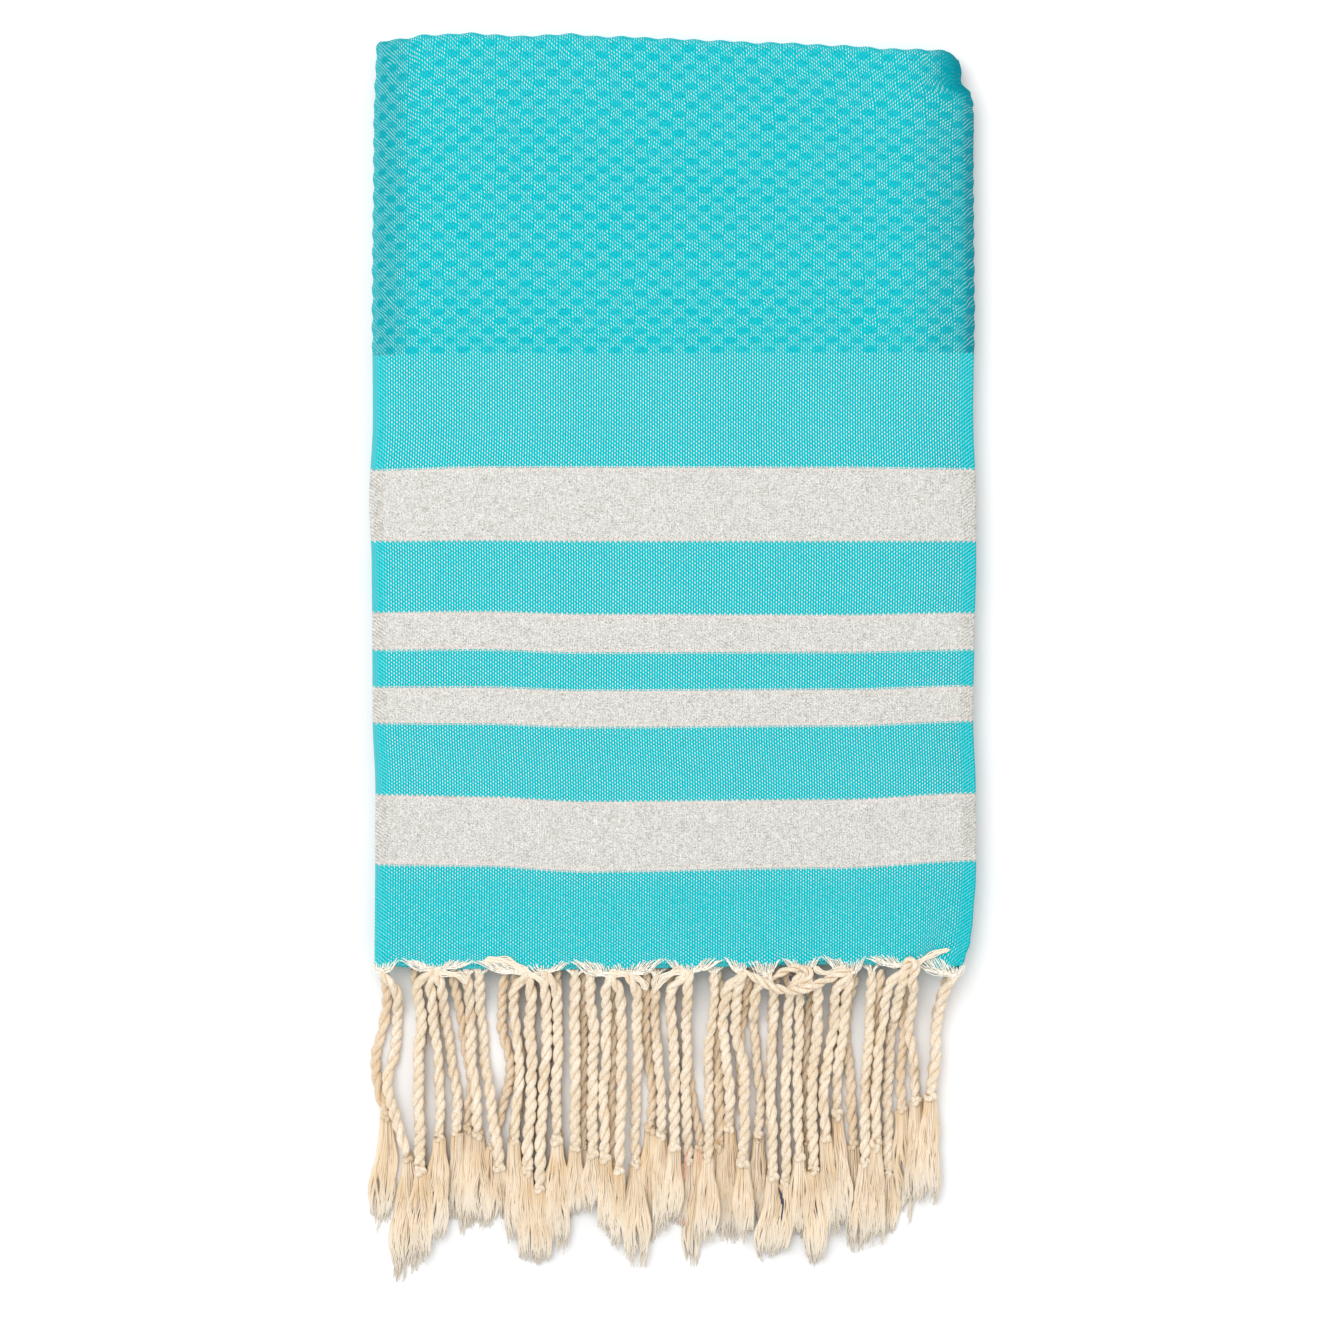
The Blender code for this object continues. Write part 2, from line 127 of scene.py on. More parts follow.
FINE_SLACK = 0.22 * MM
SLACK_INSET = 20 * MM  # they fade out this far from the sides, and before the top fold
SLACK_FADES = 494 * MM
SLACK_ENDS = 508 * MM
BANDS = ((54 * MM, 92 * MM), (132 * MM, 152 * MM), (172 * MM, 193 * MM), (232 * MM, 273 * MM))
TOOTH = 1.0 * MM
BAND_EDGE = 0.2 * MM  # half the width in which the turquoise turns silver
BORDER_IN = 1.4 * MM  # how far inside a band its pinkish border thread lies
FLECK_WIDTH = 0.56 * MM
FLECK_LENGTH = 0.52 * MM

Station = namedtuple("Station", "distance place normal")
Spot = namedtuple("Spot", "place radius tilt", defaults=(0.0,))
Gather = namedtuple("Gather", "x y left right")
Rope = namedtuple("Rope", "width strands end_share route")
Stray = namedtuple("Stray", "shade radius route")
Section = namedtuple("Section", "y x slope width")
Cord = namedtuple("Cord", "layer levels knot_x knot_y tip_x tip_y spread")


def metres(rows):
    """Rows of millimetres as rows of metres."""
    return [[value * MM for value in row] for row in rows]


def cords_of(*rows):
    """Cords from rows of millimetres: a layer, then x at five levels, knot, tip, spread."""
    cords = []
    for layer, *values in rows:
        *levels, knot_x, knot_y, tip_x, tip_y, spread = [value * MM for value in values]
        cords.append(Cord(layer, levels, knot_x, knot_y, tip_x, tip_y, spread))
    return cords


# How far the folded stack drifts sideways, in millimetres, and the share that it draws in
# to, by the distance along the cloth
DRIFTS = (
    (0, 0.5, 0.994), (66, 0.9, 0.994), (96, 0.8, 0.993), (135, -0.7, 0.993), (180, -0.4, 0.996),
    (220, -0.1, 1), (256, -0.8, 1.004), (300, -0.6, 0.993), (360, -0.4, 0.996), (440, -0.4, 0.992),
    (466, -0.4, 0.99), (512, -1.9, 0.972), (580, -0.8, 0.99), (780, -0.9, 0.994), (890, 0.5, 0.989),
    (1120, 0.5, 0.989), (1300, -0.3, 0.991), (1500, -0.4, 0.993), (1700, -0.2, 0.991),
    (1850, 0.6, 0.989), (1968, 0.6, 0.989),
)

# The tables from here on are in millimetres. How far the top edge dips below its highest
# level, by x, and how far its right corner hangs below that
TOP_DIPS = (
    (-166, 4), (-157, 2.8), (-148, 2.2), (-136, 0), (-116, -1.3), (-86, 0), (-60, -0.7), (-30, 0.6),
    (0, 1.6), (50, 3.8), (72, 4.9), (110, 6.6), (146, 7.9), (166, 8.6),
)
CORNER_DIPS = ((148, -0.4), (153, 0.2), (157, 4), (164, 14))
CORNER_STARTS_Y = 303 * MM
DIP_STARTS_Y = 200 * MM
DIP_FULL_Y = 335 * MM

# How far the right side stands out beyond its even line, by y
SHOULDER = (
    (-170, -8.6), (-163, -5.6), (-154, -2.8), (-141, -1.4), (-118, 0), (280, 0), (298, 0.6),
    (306, 2), (310, 1.6), (315, -2.4), (324, -2), (333, -1),
)
SHOULDER_STARTS_X = 132 * MM
SHOULDER_FULL_X = 150 * MM

# Where the stack lies a little higher or lower: x, y, reach, and the share of its height
MOUNDS = (
    (-95, 215, 80, 0.03), (60, 262, 60, -0.03), (105, 120, 75, 0.025), (-40, 30, 85, -0.025),
    (70, -85, 70, 0.03), (-115, -120, 55, -0.02),
)

# How far the weft bows up or down from level, by y, at five places from left to right
BOWS = (
    (-167, 0.3, -1.4, -1.6, 0.9, 1.8),
    (-113, 1, 0.4, -2.7, -0.6, 3.3),
    (-75, 1.5, 0.4, -2.2, -1.1, 2.4),
    (-35, 0.3, 0, -1.9, -1.1, 1.4),
    (5, 0.2, 0.5, -1.2, -0.9, 0.4),
    (25, 0, 0.5, -1, -1.4, -0.2),
    (65, -0.3, 0.1, -0.3, -0.3, -0.3),
    (106, -2.2, -0.6, -0.6, -0.8, -1.7),
    (167, -1.6, -1, -1.2, -0.8, -0.6),
    (333, 0, 0, 0, 0, 0),
)
BOW_PLACES = (-PANEL_HALF, -105 * MM, -48 * MM, 90 * MM, PANEL_HALF)

# Where the warp threads of the front hem gather, and from where to where each one takes them
GATHERS = [Gather(*row) for row in metres((
    (-159.7, -170.9, -166, -150), (-130.8, -168.9, -149, -109), (-80, -171.3, -108, -79),
    (-70.2, -170.4, -79, -57), (-34.1, -172.3, -56, -35), (-25.4, -171.5, -34, -5),
    (9, -170.2, -4.5, 27), (39, -170.4, 28, 40.5), (51, -172, 41, 58), (70, -171, 59, 80),
    (96.4, -171, 81, 105), (127.5, -167, 106, 128), (153.7, -172.5, 129, 160),
))]
HEM_PULL = 1.4 * MM
HEM_RISE = 1.8 * MM
HEM_REACH = 11 * MM
HEM_DEPTH = 9 * MM  # how far up the cloth the gathers are felt
CORNER_DROOP = 3.4 * MM  # how far the hem's right corner hangs down
CORNER_DROOP_X = 136 * MM
CORNER_DROOP_REACH = 20 * MM
LOWER_HEM = -1.2 * MM  # where the hems below show between the gathers
LOWER_RISE = 0.9 * MM
LOWER_GATHER_PITCH = 43 * MM
LASH_STEPS = 9
ROPE_STEPS = 44
ROPE_END_STEPS = 6
WING_STRANDS = 4  # bundles along each half of a fan
SHORTEST_WING = 5 * MM
LOWER_LASHES = 16  # threads of the lower layers that go into one cord
LASHES_A_COLUMN = 1.3

# Loose bundles and ropes of warp along the front hem: width, strands, how thick the ends
# are, and the route
ROPES = (
    Rope(4.2, 7, 0.3, (  # lock over the left of the hem
        (-104, -164.4, 17.9), (-97, -163.6, 18.4), (-91, -164.4, 18.6), (-85, -167.4, 18.6),
        (-80.5, -171, 18.2), (-78.5, -176, 16.4))),
    Rope(5.2, 2, 0.7, (  # hanging rope
        (38.5, -169.6, 18), (45.5, -173.8, 19.6), (52.7, -177.6, 20.2), (60, -180, 20.2),
        (68, -180.2, 20.2), (76, -177.8, 20.4), (85, -173.6, 20.2), (92, -170.6, 19.2),
        (98, -168.6, 18))),
    Rope(4.6, 2, 0.6, (  # arch over the rope
        (54, -174.6, 16.8), (59, -170.6, 18.4), (66, -168, 19), (72.5, -168.8, 19.2),
        (74.4, -172.6, 19.2), (71, -176.6, 18.4), (66.5, -178.6, 17))),
    Rope(3, 6, 0.4, (  # lock right of the arch
        (76, -167.4, 18), (80.5, -170.2, 18.9), (85.5, -170.8, 19), (90, -169, 18.8),
        (94.5, -166.6, 18))),
    Rope(5.6, 2, 0.7, (  # knotted root
        (126, -171, 17.2), (126.6, -166.8, 18.6), (129.4, -164.4, 19.4), (132.2, -167, 19.6),
        (131, -171.2, 19.4), (130.4, -176.6, 18), (132, -182, 15.6))),
    Rope(3, 5, 0.2, (  # lock towards the right corner
        (129.5, -167.2, 18.4), (134, -164.8, 18.8), (139.5, -161.6, 18.6), (145.5, -159.2, 18.2),
        (151, -158.2, 17.8))),
    Rope(4, 7, 0.4, (  # lock left of the middle
        (-36, -170.6, 18), (-30, -171.2, 18.8), (-24, -171.8, 18.6), (-18, -175, 17),
        (-14.5, -181, 14.6))),
    Rope(3.4, 6, 0.4, (  # lock right of the first fan
        (-129, -170.6, 18.2), (-122, -171.4, 18.4), (-116.5, -172.6, 18), (-113, -177, 16))),
    Rope(4, 7, 0.4, (  # lock of the second fan
        (-84, -169, 18.6), (-78, -171.6, 18.8), (-71.5, -174.6, 18.4), (-68, -178, 16.4))),
    Rope(4, 7, 0.4, (  # lock of the wide fan
        (6, -168.6, 18.2), (-1, -171, 18.6), (-6, -174, 17.6), (-9, -180, 15))),
)

# Coloured threads caught in the fringe: shade, radius and route
STRAY_STEPS = 14
STRAY_END_STEPS = 3
STRAYS = (
    Stray("navy", 0.95, (
        (57.6, -289.5, 9.4), (59.4, -295, 9.6), (60, -300.4, 9.4), (58.6, -306.6, 8.6),
        (56, -312.4, 6.6), (53.4, -317, 5))),
    Stray("navy", 0.75, (
        (52.4, -315.6, 6.8), (51.8, -319.6, 6.6), (50.9, -323, 5.4))),
    Stray("navy", 0.9, (
        (63.4, -172, 18.6), (64.6, -175.4, 18), (66.6, -177.6, 17))),
    Stray("teal", 0.55, (
        (71.4, -180, 14.6), (72, -183.6, 13.8), (72.3, -187.6, 12.8))),
    Stray("teal", 0.6, (
        (77.8, -178.6, 14.6), (78.6, -182.4, 13.8), (78.4, -186.2, 12.8))),
    Stray("rose", 0.34, (
        (8.4, -268.6, 9.6), (6.8, -273, 9.2), (6.2, -280, 8.4), (6.6, -286.8, 7.4))),
    Stray("rose", 0.34, (
        (13.8, -267.4, 10.8), (14.2, -272.6, 10.6), (13.8, -277.8, 10))),
    Stray("rose", 0.45, (
        (5.9, -307.6, 5), (5.6, -309.8, 4.6), (5.7, -311.6, 4.2))),
)

# Cords that lie on top, from left to right, as in the solid
FRONT_CORDS = cords_of(
    ("a", -153.5, -151.5, -152, -154, -157, -146.5, -274, -149, -341, 9.5),
    ("b", -141.5, -139.5, -138.5, -140, -140, -139, -280, -138.5, -332, 7.5),
    ("c", -134, -132.5, -131.5, -129.5, -128.5, -128.5, -262, -131, -323, 7),
    ("a", -127.5, -126.5, -125, -122.5, -120, -119, -259, -122.5, -309, 4.5),
    ("b", -113, -112, -111.5, -111, -109, -107.5, -261, -108.5, -315.5, 7.5),
    ("c", -106.5, -106, -105.5, -104, -101.5, -95.5, -278, -93.5, -307, 4),
    ("b", -86.5, -87.5, -87, -84.5, -85, -87.5, -264, -87, -319, 5.5),
    ("a", -78.5, -78, -79, -78, -78, -80.5, -280.5, -79.5, -331.5, 7.5),
    ("a", -71.5, -70, -69.5, -70, -71.5, -73.5, -290, -71.5, -333, 5.5),
    ("c", -64, -64, -63.5, -63.5, -64.5, -64, -263, -63.5, -325.5, 8),
    ("b", -54, -54, -54.5, -54, -54, -54, -267.5, -55, -307, 6),
    ("c", -45.5, -45.5, -44, -44, -44.5, -44.5, -270.5, -45.5, -303.5, 6.5),
    ("a", -38, -37, -37, -37, -38.5, -37.5, -273, -37, -316.5, 5.5),
    ("b", -30, -29, -28.5, -28.5, -28.5, -30, -280, -30, -323, 5.5),
    ("a", -21, -20, -20, -19.5, -20.5, -21, -277.5, -20.5, -332, 8.5),
    ("c", -9.5, -10, -10, -8.5, -7, -6.5, -261, -7.5, -314.5, 5),
    ("b", -0.5, -1.5, -1, 0.5, 0.5, 0.5, -267, -1, -311, 5.5),
    ("a", 8, 7.5, 7, 7.5, 6.5, 8, -276, 5.5, -314.5, 5),
    ("b", 22, 22.5, 20.5, 19, 19.5, 19, -273, 17.5, -321, 7),
    ("c", 29, 28.5, 27, 29, 30.5, 31, -257.5, 31, -320.5, 6.5),
    ("a", 35.5, 34.5, 34, 37.5, 39, 38.5, -275.5, 38.5, -319, 6),
    ("a", 45.5, 44.5, 44.5, 45.5, 47.5, 47, -262, 45, -313.5, 5),
    ("b", 55.5, 55, 54.5, 54, 53.5, 54.5, -283, 50, -330.5, 6),
    ("c", 63, 63.5, 62.5, 62.5, 61.5, 61.5, -287, 57.5, -328.5, 6),
    ("a", 69.5, 69.5, 69, 68.5, 68, 69, -272, 69, -318, 6.5),
    ("b", 79, 79, 79, 77.5, 76, 77, -280, 78.5, -334, 7.5),
    ("c", 89.5, 88.5, 88, 85, 82.5, 83.5, -262, 88, -315.5, 5),
    ("a", 96, 94.5, 93.5, 91, 90, 90, -250, 94.5, -315.5, 5),
    ("b", 108.5, 108, 107.5, 106.5, 105.5, 105, -275.5, 103, -323, 7),
    ("c", 119.5, 116.5, 114.5, 112.5, 111.5, 111, -266, 110.5, -322, 6),
    ("b", 126, 123, 120.5, 119, 118, 118, -281.5, 118, -318, 6),
    ("c", 131.5, 131, 129.5, 131.5, 133.5, 133.5, -242.5, 132.5, -302.5, 6),
    ("a", 151.5, 147, 144.5, 144, 142, 141.5, -239, 140, -298, 6.5),
)

# Cords of the back end that show beside or between those on top
BACK_CORDS = cords_of(
    ("a", -158.5, -157, -160, -163.5, -163, -158, -251, -161.5, -314.5, 7.5),
    ("b", -121.5, -118.5, -116.5, -113.5, -111.5, -113.5, -257.5, -115.5, -314.5, 5),
    ("c", -92.5, -94, -94.5, -90.5, -91, -99.5, -267.5, -101.5, -313.5, 5),
    ("a", -49.5, -49, -49.5, -49.5, -49.5, -49.5, -267.5, -49, -302.5, 5.5),
    ("b", -33.5, -33, -33, -33.5, -34, -34, -279.5, -33.5, -320, 5),
    ("c", -15, -15.5, -15.5, -14, -11.5, -12.5, -257.5, -13.5, -328.5, 6.5),
    ("a", 8, 7.5, 7, 7.5, 9, 14.5, -268, 9.5, -336.5, 6),
    ("b", 24, 25.5, 25, 24.5, 25.5, 24.5, -267.5, 23, -320, 4.5),
    ("c", 41, 40, 37, 36.5, 37.5, 39.5, -278.5, 38.5, -316.5, 5),
    ("a", 75.5, 75, 73.5, 73, 72.5, 74, -265.5, 75, -314.5, 5),
    ("b", 99, 96.5, 94.5, 96, 97.5, 99, -266.5, 100, -326.5, 6.5),
    ("c", 113.5, 112.5, 112.5, 112, 111.5, 109, -278.5, 107, -322, 5),
    ("a", 125.5, 126.5, 127, 126, 125, 125.5, -247, 128, -309, 6.5),
)

# The photograph's view: straight down, from far enough for a flat picture
FRAME_WIDTH = 0.7207
FRAME_MIDDLE_X = -7.4 * MM
LENS_MM = 85.0
SENSOR_MM = 36.0
STACK_TOP = 18 * MM

# The studio
FLOOR_HALF = 4.0
SOFTBOX_SIZE = 1.3
SOFTBOX_PLACE = Vector((-0.55, 0.55, 1.80))
SOFTBOX_POWER = 18.0


def ahead(heading):
    return Vector((math.cos(heading), math.sin(heading)))


def left_of(heading):
    return Vector((-math.sin(heading), math.cos(heading)))


def fold(radius, turn_deg, steps):
    """A round fold, as walk takes it."""
    return radius * math.radians(abs(turn_deg)), turn_deg, steps


def walk(start, heading_deg, *runs):
    """A station at each step of a path of runs: each has a length, a turn and its steps."""
    place = Vector(start)
    heading = math.radians(heading_deg)
    distance = 0.0
    stations = [Station(distance, place.copy(), left_of(heading))]
    for length, turn_deg, steps in runs:
        step = length / steps
        turn = math.radians(turn_deg) / steps
        chord = step * math.sin(turn / 2) / (turn / 2) if turn else step
        for _ in range(steps):
            place += chord * ahead(heading + turn / 2)
            heading += turn
            distance += step
            stations.append(Station(distance, place.copy(), left_of(heading)))
    return stations


def thirds():
    """The section across: flap b behind the panel a, and flap c behind them both."""
    return walk(
        (LEFT_FLAP - PANEL_HALF, 0.0), 180,
        (LEFT_FLAP, 0, 30),  # flap b
        fold(LAYER_PITCH / 2, -180, 6),
        (CORNER_STEP, 0, 4),
        (2 * (PANEL_HALF - CORNER_STEP), 0, 128),  # panel a
        (CORNER_STEP, 0, 4),
        fold(LAYER_PITCH, -180, 6),
        (RIGHT_FLAP, 0, 30),  # flap c
    )


def quarters():
    """The section along: down the front, round the stack, and back inside it."""
    return walk(
        (HEM_Y, FRONT_Z), 0,
        (HEM_BAND, 0, 8),  # front hem
        (HONEYCOMB_START - HEM_BAND, 0, 56),  # front bands
        (TOP_FOLD_Y - HEM_Y - HONEYCOMB_START, 0, 96),  # front honeycomb
        fold(1.5 * BUNDLE_PITCH, -180, 12),
        (TOP_FOLD_Y - BOTTOM_FOLD_Y, 0, 8),  # rear
        fold(BUNDLE_PITCH / 2, -180, 6),
        (INNER_FOLD_Y - BOTTOM_FOLD_Y, 0, 7),  # inner rear
        fold(BUNDLE_PITCH / 2, 180, 6),
        (INNER_FOLD_Y - HEM_Y - HEM_BAND, 0, 8),  # inner front
        (HEM_BAND, 0, 5),  # inner hem
    )


def between(low, high, share):
    return low + (high - low) * share


def smooth_step(share):
    share = min(max(share, 0.0), 1.0)
    return share * share * (3 - 2 * share)


def ramp(value, low, high):
    """0 at low and 1 at high, eased between them and level beyond them."""
    return smooth_step((value - low) / (high - low))


def uneven(*place):
    """A smooth uneven value for a place, from about -1 to 1."""
    return noise.noise(Vector(place))


def eased(rows, at):
    """What a table's rows say beside a value of the first column, eased between rows."""
    for low, high in zip(rows, rows[1:]):
        if at <= high[0]:
            share = ramp(at, low[0], high[0])
            return [between(a, b, share) for a, b in zip(low[1:], high[1:])]
    return rows[-1][1:]


def bow_at(x, y):
    """How far the weft lies above or below level at a place of the stack."""
    rises = eased(BOWS, y / MM)
    i = min(sum(x >= place for place in BOW_PLACES[1:]), len(BOW_PLACES) - 2)
    return between(rises[i], rises[i + 1], ramp(x, BOW_PLACES[i], BOW_PLACES[i + 1])) * MM


def settled(x, y, z, distance):
    """The true place of a point of the folded stack, uneven as a real one is."""
    shift, width = eased(DRIFTS, distance / MM)
    x = x * width + shift * MM
    dip = ramp(y, DIP_STARTS_Y, DIP_FULL_Y) * eased(TOP_DIPS, x / MM)[0]
    corner = ramp(y, CORNER_STARTS_Y, DIP_FULL_Y) * eased(CORNER_DIPS, x / MM)[0]
    y += bow_at(x, y) - (dip + corner) * MM
    x += ramp(x, SHOULDER_STARTS_X, SHOULDER_FULL_X) * eased(SHOULDER, y / MM)[0] * MM
    rise = 1.0
    for mound_x, mound_y, reach, share in MOUNDS:
        rise += share * math.exp(-((x / MM - mound_x) ** 2 + (y / MM - mound_y) ** 2) / reach**2)
    return Vector((x, y, z * rise))


def corner_droop(x):
    return CORNER_DROOP * ramp(x, CORNER_DROOP_X, CORNER_DROOP_X + CORNER_DROOP_REACH)


def front_hem_rise(x):
    """How far the front hem springs up between its gathers, and is drawn down at them."""
    away = min(abs(x - gather.x) for gather in GATHERS)
    return between(-HEM_PULL, HEM_RISE, ramp(away, 0, HEM_REACH)) - corner_droop(x)


def hem_scallop(u, x, from_hem):
    """How far the hems of all layers lie above or below level, fading up the cloth."""
    near = ramp(from_hem, HEM_DEPTH, 0)
    if near <= 0:
        return 0.0
    if PANEL_START_U <= u <= PANEL_END_U:
        return near * front_hem_rise(x)
    away = abs((u / LOWER_GATHER_PITCH) % 1.0 - 0.5) * LOWER_GATHER_PITCH
    return near * (LOWER_HEM - corner_droop(x) + LOWER_RISE * ramp(away, 0, HEM_REACH))


def field_relief(u, v):
    """How far the cells of the honeycomb weave stand up from the cloth."""
    begins = ramp(v, HONEYCOMB_START, HONEYCOMB_START + RELIEF_STARTS_IN)
    ends = ramp(v, FIELD_ENDS + RELIEF_ENDS_IN, FIELD_ENDS)
    across = math.sin(math.pi * (u - PANEL_MIDDLE_U) / CELL_WIDTH)
    along = math.cos(2 * math.pi * (v - FIRST_SOLID) / CELL_REPEAT)
    return begins * ends * CELL_RELIEF * across * along


def slack(x, y):
    """The shallow waves of cloth that was smoothed by hand."""
    return BROAD_SLACK * uneven(x * 14, y * 9, 0.3) + FINE_SLACK * uneven(x * 55, y * 26, 4.1)


def side_bump(u, v):
    """How far the cells push the side folds out, to the left below zero."""
    begins = ramp(v, HONEYCOMB_START, HONEYCOMB_START + EDGE_STARTS_IN)
    ends = ramp(v, FOLD_ENDS + EDGE_ENDS_IN, FOLD_ENDS)
    left = ramp(abs(u - PANEL_START_U), SIDE_REACH, 0)
    right = ramp(abs(u - PANEL_END_U), SIDE_REACH, 0)
    wave = math.cos(2 * math.pi * v / CELL_REPEAT) + 0.5 * uneven(v * 150, u * 20, 7.7)
    return begins * ends * (right - left) * EDGE_BUMP * wave


def top_ripple(u, v):
    """How far the top fold waves up and down along its edge."""
    begins = ramp(v, RIPPLE_STARTS, RIPPLE_STARTS + RIPPLE_STARTS_IN)
    ends = ramp(v, FOLD_ENDS + RIPPLE_ENDS_IN, FOLD_ENDS)
    wave = math.cos(math.pi * (u - PANEL_MIDDLE_U) / CELL_WIDTH)
    return begins * ends * TOP_RIPPLE * (0.55 * wave + 1.1 * uneven(u * 60, 2.0, 1.3))


def cloth_place(across, along, offset, end_distance):
    """Where a point of the cloth lies once folded, offset from the cloth's middle."""
    u, v = across.distance, along.distance
    x, rise = across.place + offset * across.normal
    if PANEL_START_U <= u <= PANEL_END_U and v < PANEL_TURNS:
        if offset > 0:
            rise += field_relief(u, v)
        inset = min(u - PANEL_START_U, PANEL_END_U - u)
        calm = ramp(inset, 0, SLACK_INSET) * ramp(v, SLACK_ENDS, SLACK_FADES)
        rise += slack(x, along.place.x) * calm
    y, z = along.place + rise * along.normal
    y += hem_scallop(u, x, min(v, end_distance - v)) + top_ripple(u, v)
    return settled(x + side_bump(u, v), y, z, v)


def cloth_top(x, y):
    """The height of the front of the folded cloth at a place of the panel."""
    return settled(x, y - bow_at(x, y), FRONT_TOP + slack(x, y), HEM_REACH).z


def placed(name, data):
    """A new object of the scene."""
    made = bpy.data.objects.new(name, data)
    bpy.context.scene.collection.objects.link(made)
    return made


def mesh_of(name, body, finish):
    mesh = bpy.data.meshes.new(name)
    body.to_mesh(mesh)
    body.free()
    mesh.materials.append(finish)
    return mesh


def piece_from(name, body, finish, node):
    """A finished piece that stands for one CAD node."""
    mesh = mesh_of(name, body, finish)
    mesh.shade_smooth()
    piece = placed(name, mesh)
    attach(piece, "root")
    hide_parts(node)
    return piece


def towel_cloth(finish):
    """The one length of cloth, folded: thirds across, then quarters along."""
    across, along = thirds(), quarters()
    columns, rows = len(across) - 1, len(along) - 1
    body = bmesh.new()
    laid = body.loops.layers.uv.new("weave")
    bmesh.ops.create_grid(body, x_segments=columns, y_segments=rows, size=1.0)
    upper = bmesh.ops.extrude_face_region(body, geom=body.faces[:])["geom"]
    upper_points = [part for part in upper if isinstance(part, bmesh.types.BMVert)]
    bmesh.ops.translate(body, verts=upper_points, vec=(0.0, 0.0, 1.0))
    body.verts.index_update()
    maps = {}
    for point in body.verts:
        column = across[round((point.co.x + 1) / 2 * columns)]
        row = along[round((point.co.y + 1) / 2 * rows)]
        maps[point.index] = (column.distance, row.distance)
        point.co = cloth_place(column, row, (point.co.z - 0.5) * CLOTH_THICKNESS, along[-1].distance)
    for face in body.faces:
        for loop in face.loops:
            loop[laid].uv = maps[loop.vert.index]
    bmesh.ops.recalc_face_normals(body, faces=body.faces[:])
    piece = piece_from("towel_cloth", body, finish, "towel")
    return piece, (across[-1].distance, along[-1].distance)


def given(socket, value):
    """Links a value to a socket, or sets the socket to it."""
    if isinstance(value, Amount):
        socket.id_data.links.new(value.socket, socket)
    else:
        socket.default_value = value


def node_in(tree, kind, inputs=(), **settings):
    """A new node with its settings, and with values given to its inputs by name or number."""
    made = tree.nodes.new(kind)
    for name, value in settings.items():
        setattr(made, name, value)
    for key, value in dict(inputs).items():
        given(made.inputs[key], value)
    return made


def worked(operation):
    """A way to work out an amount from others, by one operation."""
    def work(*values):
        tree = values[0].socket.id_data
        return Amount(node_in(tree, "ShaderNodeMath", enumerate(values), operation=operation).outputs[0])

    return work


class Amount:
    """A value that a finish works out from other values."""

    __add__ = worked("ADD")
    __sub__ = worked("SUBTRACT")
    __mul__ = worked("MULTIPLY")
    __truediv__ = worked("DIVIDE")
    size = worked("ABSOLUTE")
    whole = worked("FLOOR")
    part = worked("FRACT")
    at_most = worked("MINIMUM")
    at_least = worked("MAXIMUM")

    def __init__(self, socket):
        self.socket = socket

    def inverse(self):
        return self * -1 + 1

    def ramp(self, low, high):
        """0 at low and 1 at high, eased between them and level beyond them."""
        inputs = {"Value": self, "From Min": min(low, high), "From Max": max(low, high)}
        if low > high:
            inputs.update({"To Min": 1.0, "To Max": 0.0})
        kind = "ShaderNodeMapRange"
        made = node_in(self.socket.id_data, kind, inputs, interpolation_type="SMOOTHSTEP")
        return Amount(made.outputs["Result"])


class Finish:
    """One material, with the nodes of its colour, roughness and relief."""

    def __init__(self, name):
        self.material = bpy.data.materials.new(name)
        self.material.use_nodes = True
        self.tree = self.material.node_tree
        self.shader = self.tree.nodes["Principled BSDF"]

    def parts(self, kind, output, **settings):
        """The three distances that a node gives."""
        source = Amount(node_in(self.tree, kind, **settings).outputs[output])
        made = node_in(self.tree, "ShaderNodeSeparateXYZ", {0: source})
        return [Amount(socket) for socket in made.outputs]

    def laid(self, name):
        """The two distances of a piece's own map."""
        return self.parts("ShaderNodeUVMap", "UV", uv_map=name)[:2]

    def place(self):
        """The three distances of a point of the piece in the object's own frame."""
        return self.parts("ShaderNodeTexCoord", "Object")

    def at(self, *place):
        return Amount(node_in(self.tree, "ShaderNodeCombineXYZ", enumerate(place)).outputs[0])

    def cloud(self, *place, detail=2.0):
        """Smooth uneven values from 0 to 1."""
        inputs = {"Vector": self.at(*place), "Scale": 1.0, "Detail": detail}
        return Amount(node_in(self.tree, "ShaderNodeTexNoise", inputs).outputs["Fac"])

    def chance(self, *place):
        """One even value from 0 to 1 for each place."""
        made = node_in(self.tree, "ShaderNodeTexWhiteNoise", {"Vector": self.at(*place)})
        return Amount(made.outputs["Value"])

    def blend(self, colour, *layers):
        """A colour with others laid over it: each one a share and a colour."""
        for share, over in layers:
            made = node_in(self.tree, "ShaderNodeMix", {"Factor": share}, data_type="RGBA")
            for socket, value in zip([s for s in made.inputs if s.type == "RGBA"], (colour, over)):
                given(socket, value)
            colour = Amount(next(s for s in made.outputs if s.type == "RGBA"))
        return colour

    def raised(self, height, distance):
        """The surface's relief, which is too fine for the mesh."""
        inputs = {"Strength": 1.0, "Distance": distance, "Height": height}
        made = node_in(self.tree, "ShaderNodeBump", inputs)
        given(self.shader.inputs["Normal"], Amount(made.outputs["Normal"]))

    def surface(self, colour, roughness, sheen=0.0, sheen_roughness=0.5, gloss=0.0):
        """Sets the shader's own sockets, and gives the finished material."""
        for name, value in (
            ("Base Color", colour),
            ("Roughness", roughness),
            ("Sheen Weight", sheen),
            ("Sheen Roughness", sheen_roughness),
            ("Specular IOR Level", gloss),
        ):
            given(self.shader.inputs[name], value)
        return self.material


def colour(red, green, blue):
    """A colour as it looks, from 0 to 255, made linear."""
    parts = []
    for part in (red, green, blue):
        part = part / 255
        parts.append(part / 12.92 if part < 0.04045 else ((part + 0.055) / 1.055) ** 2.4)
    return (*parts, 1.0)


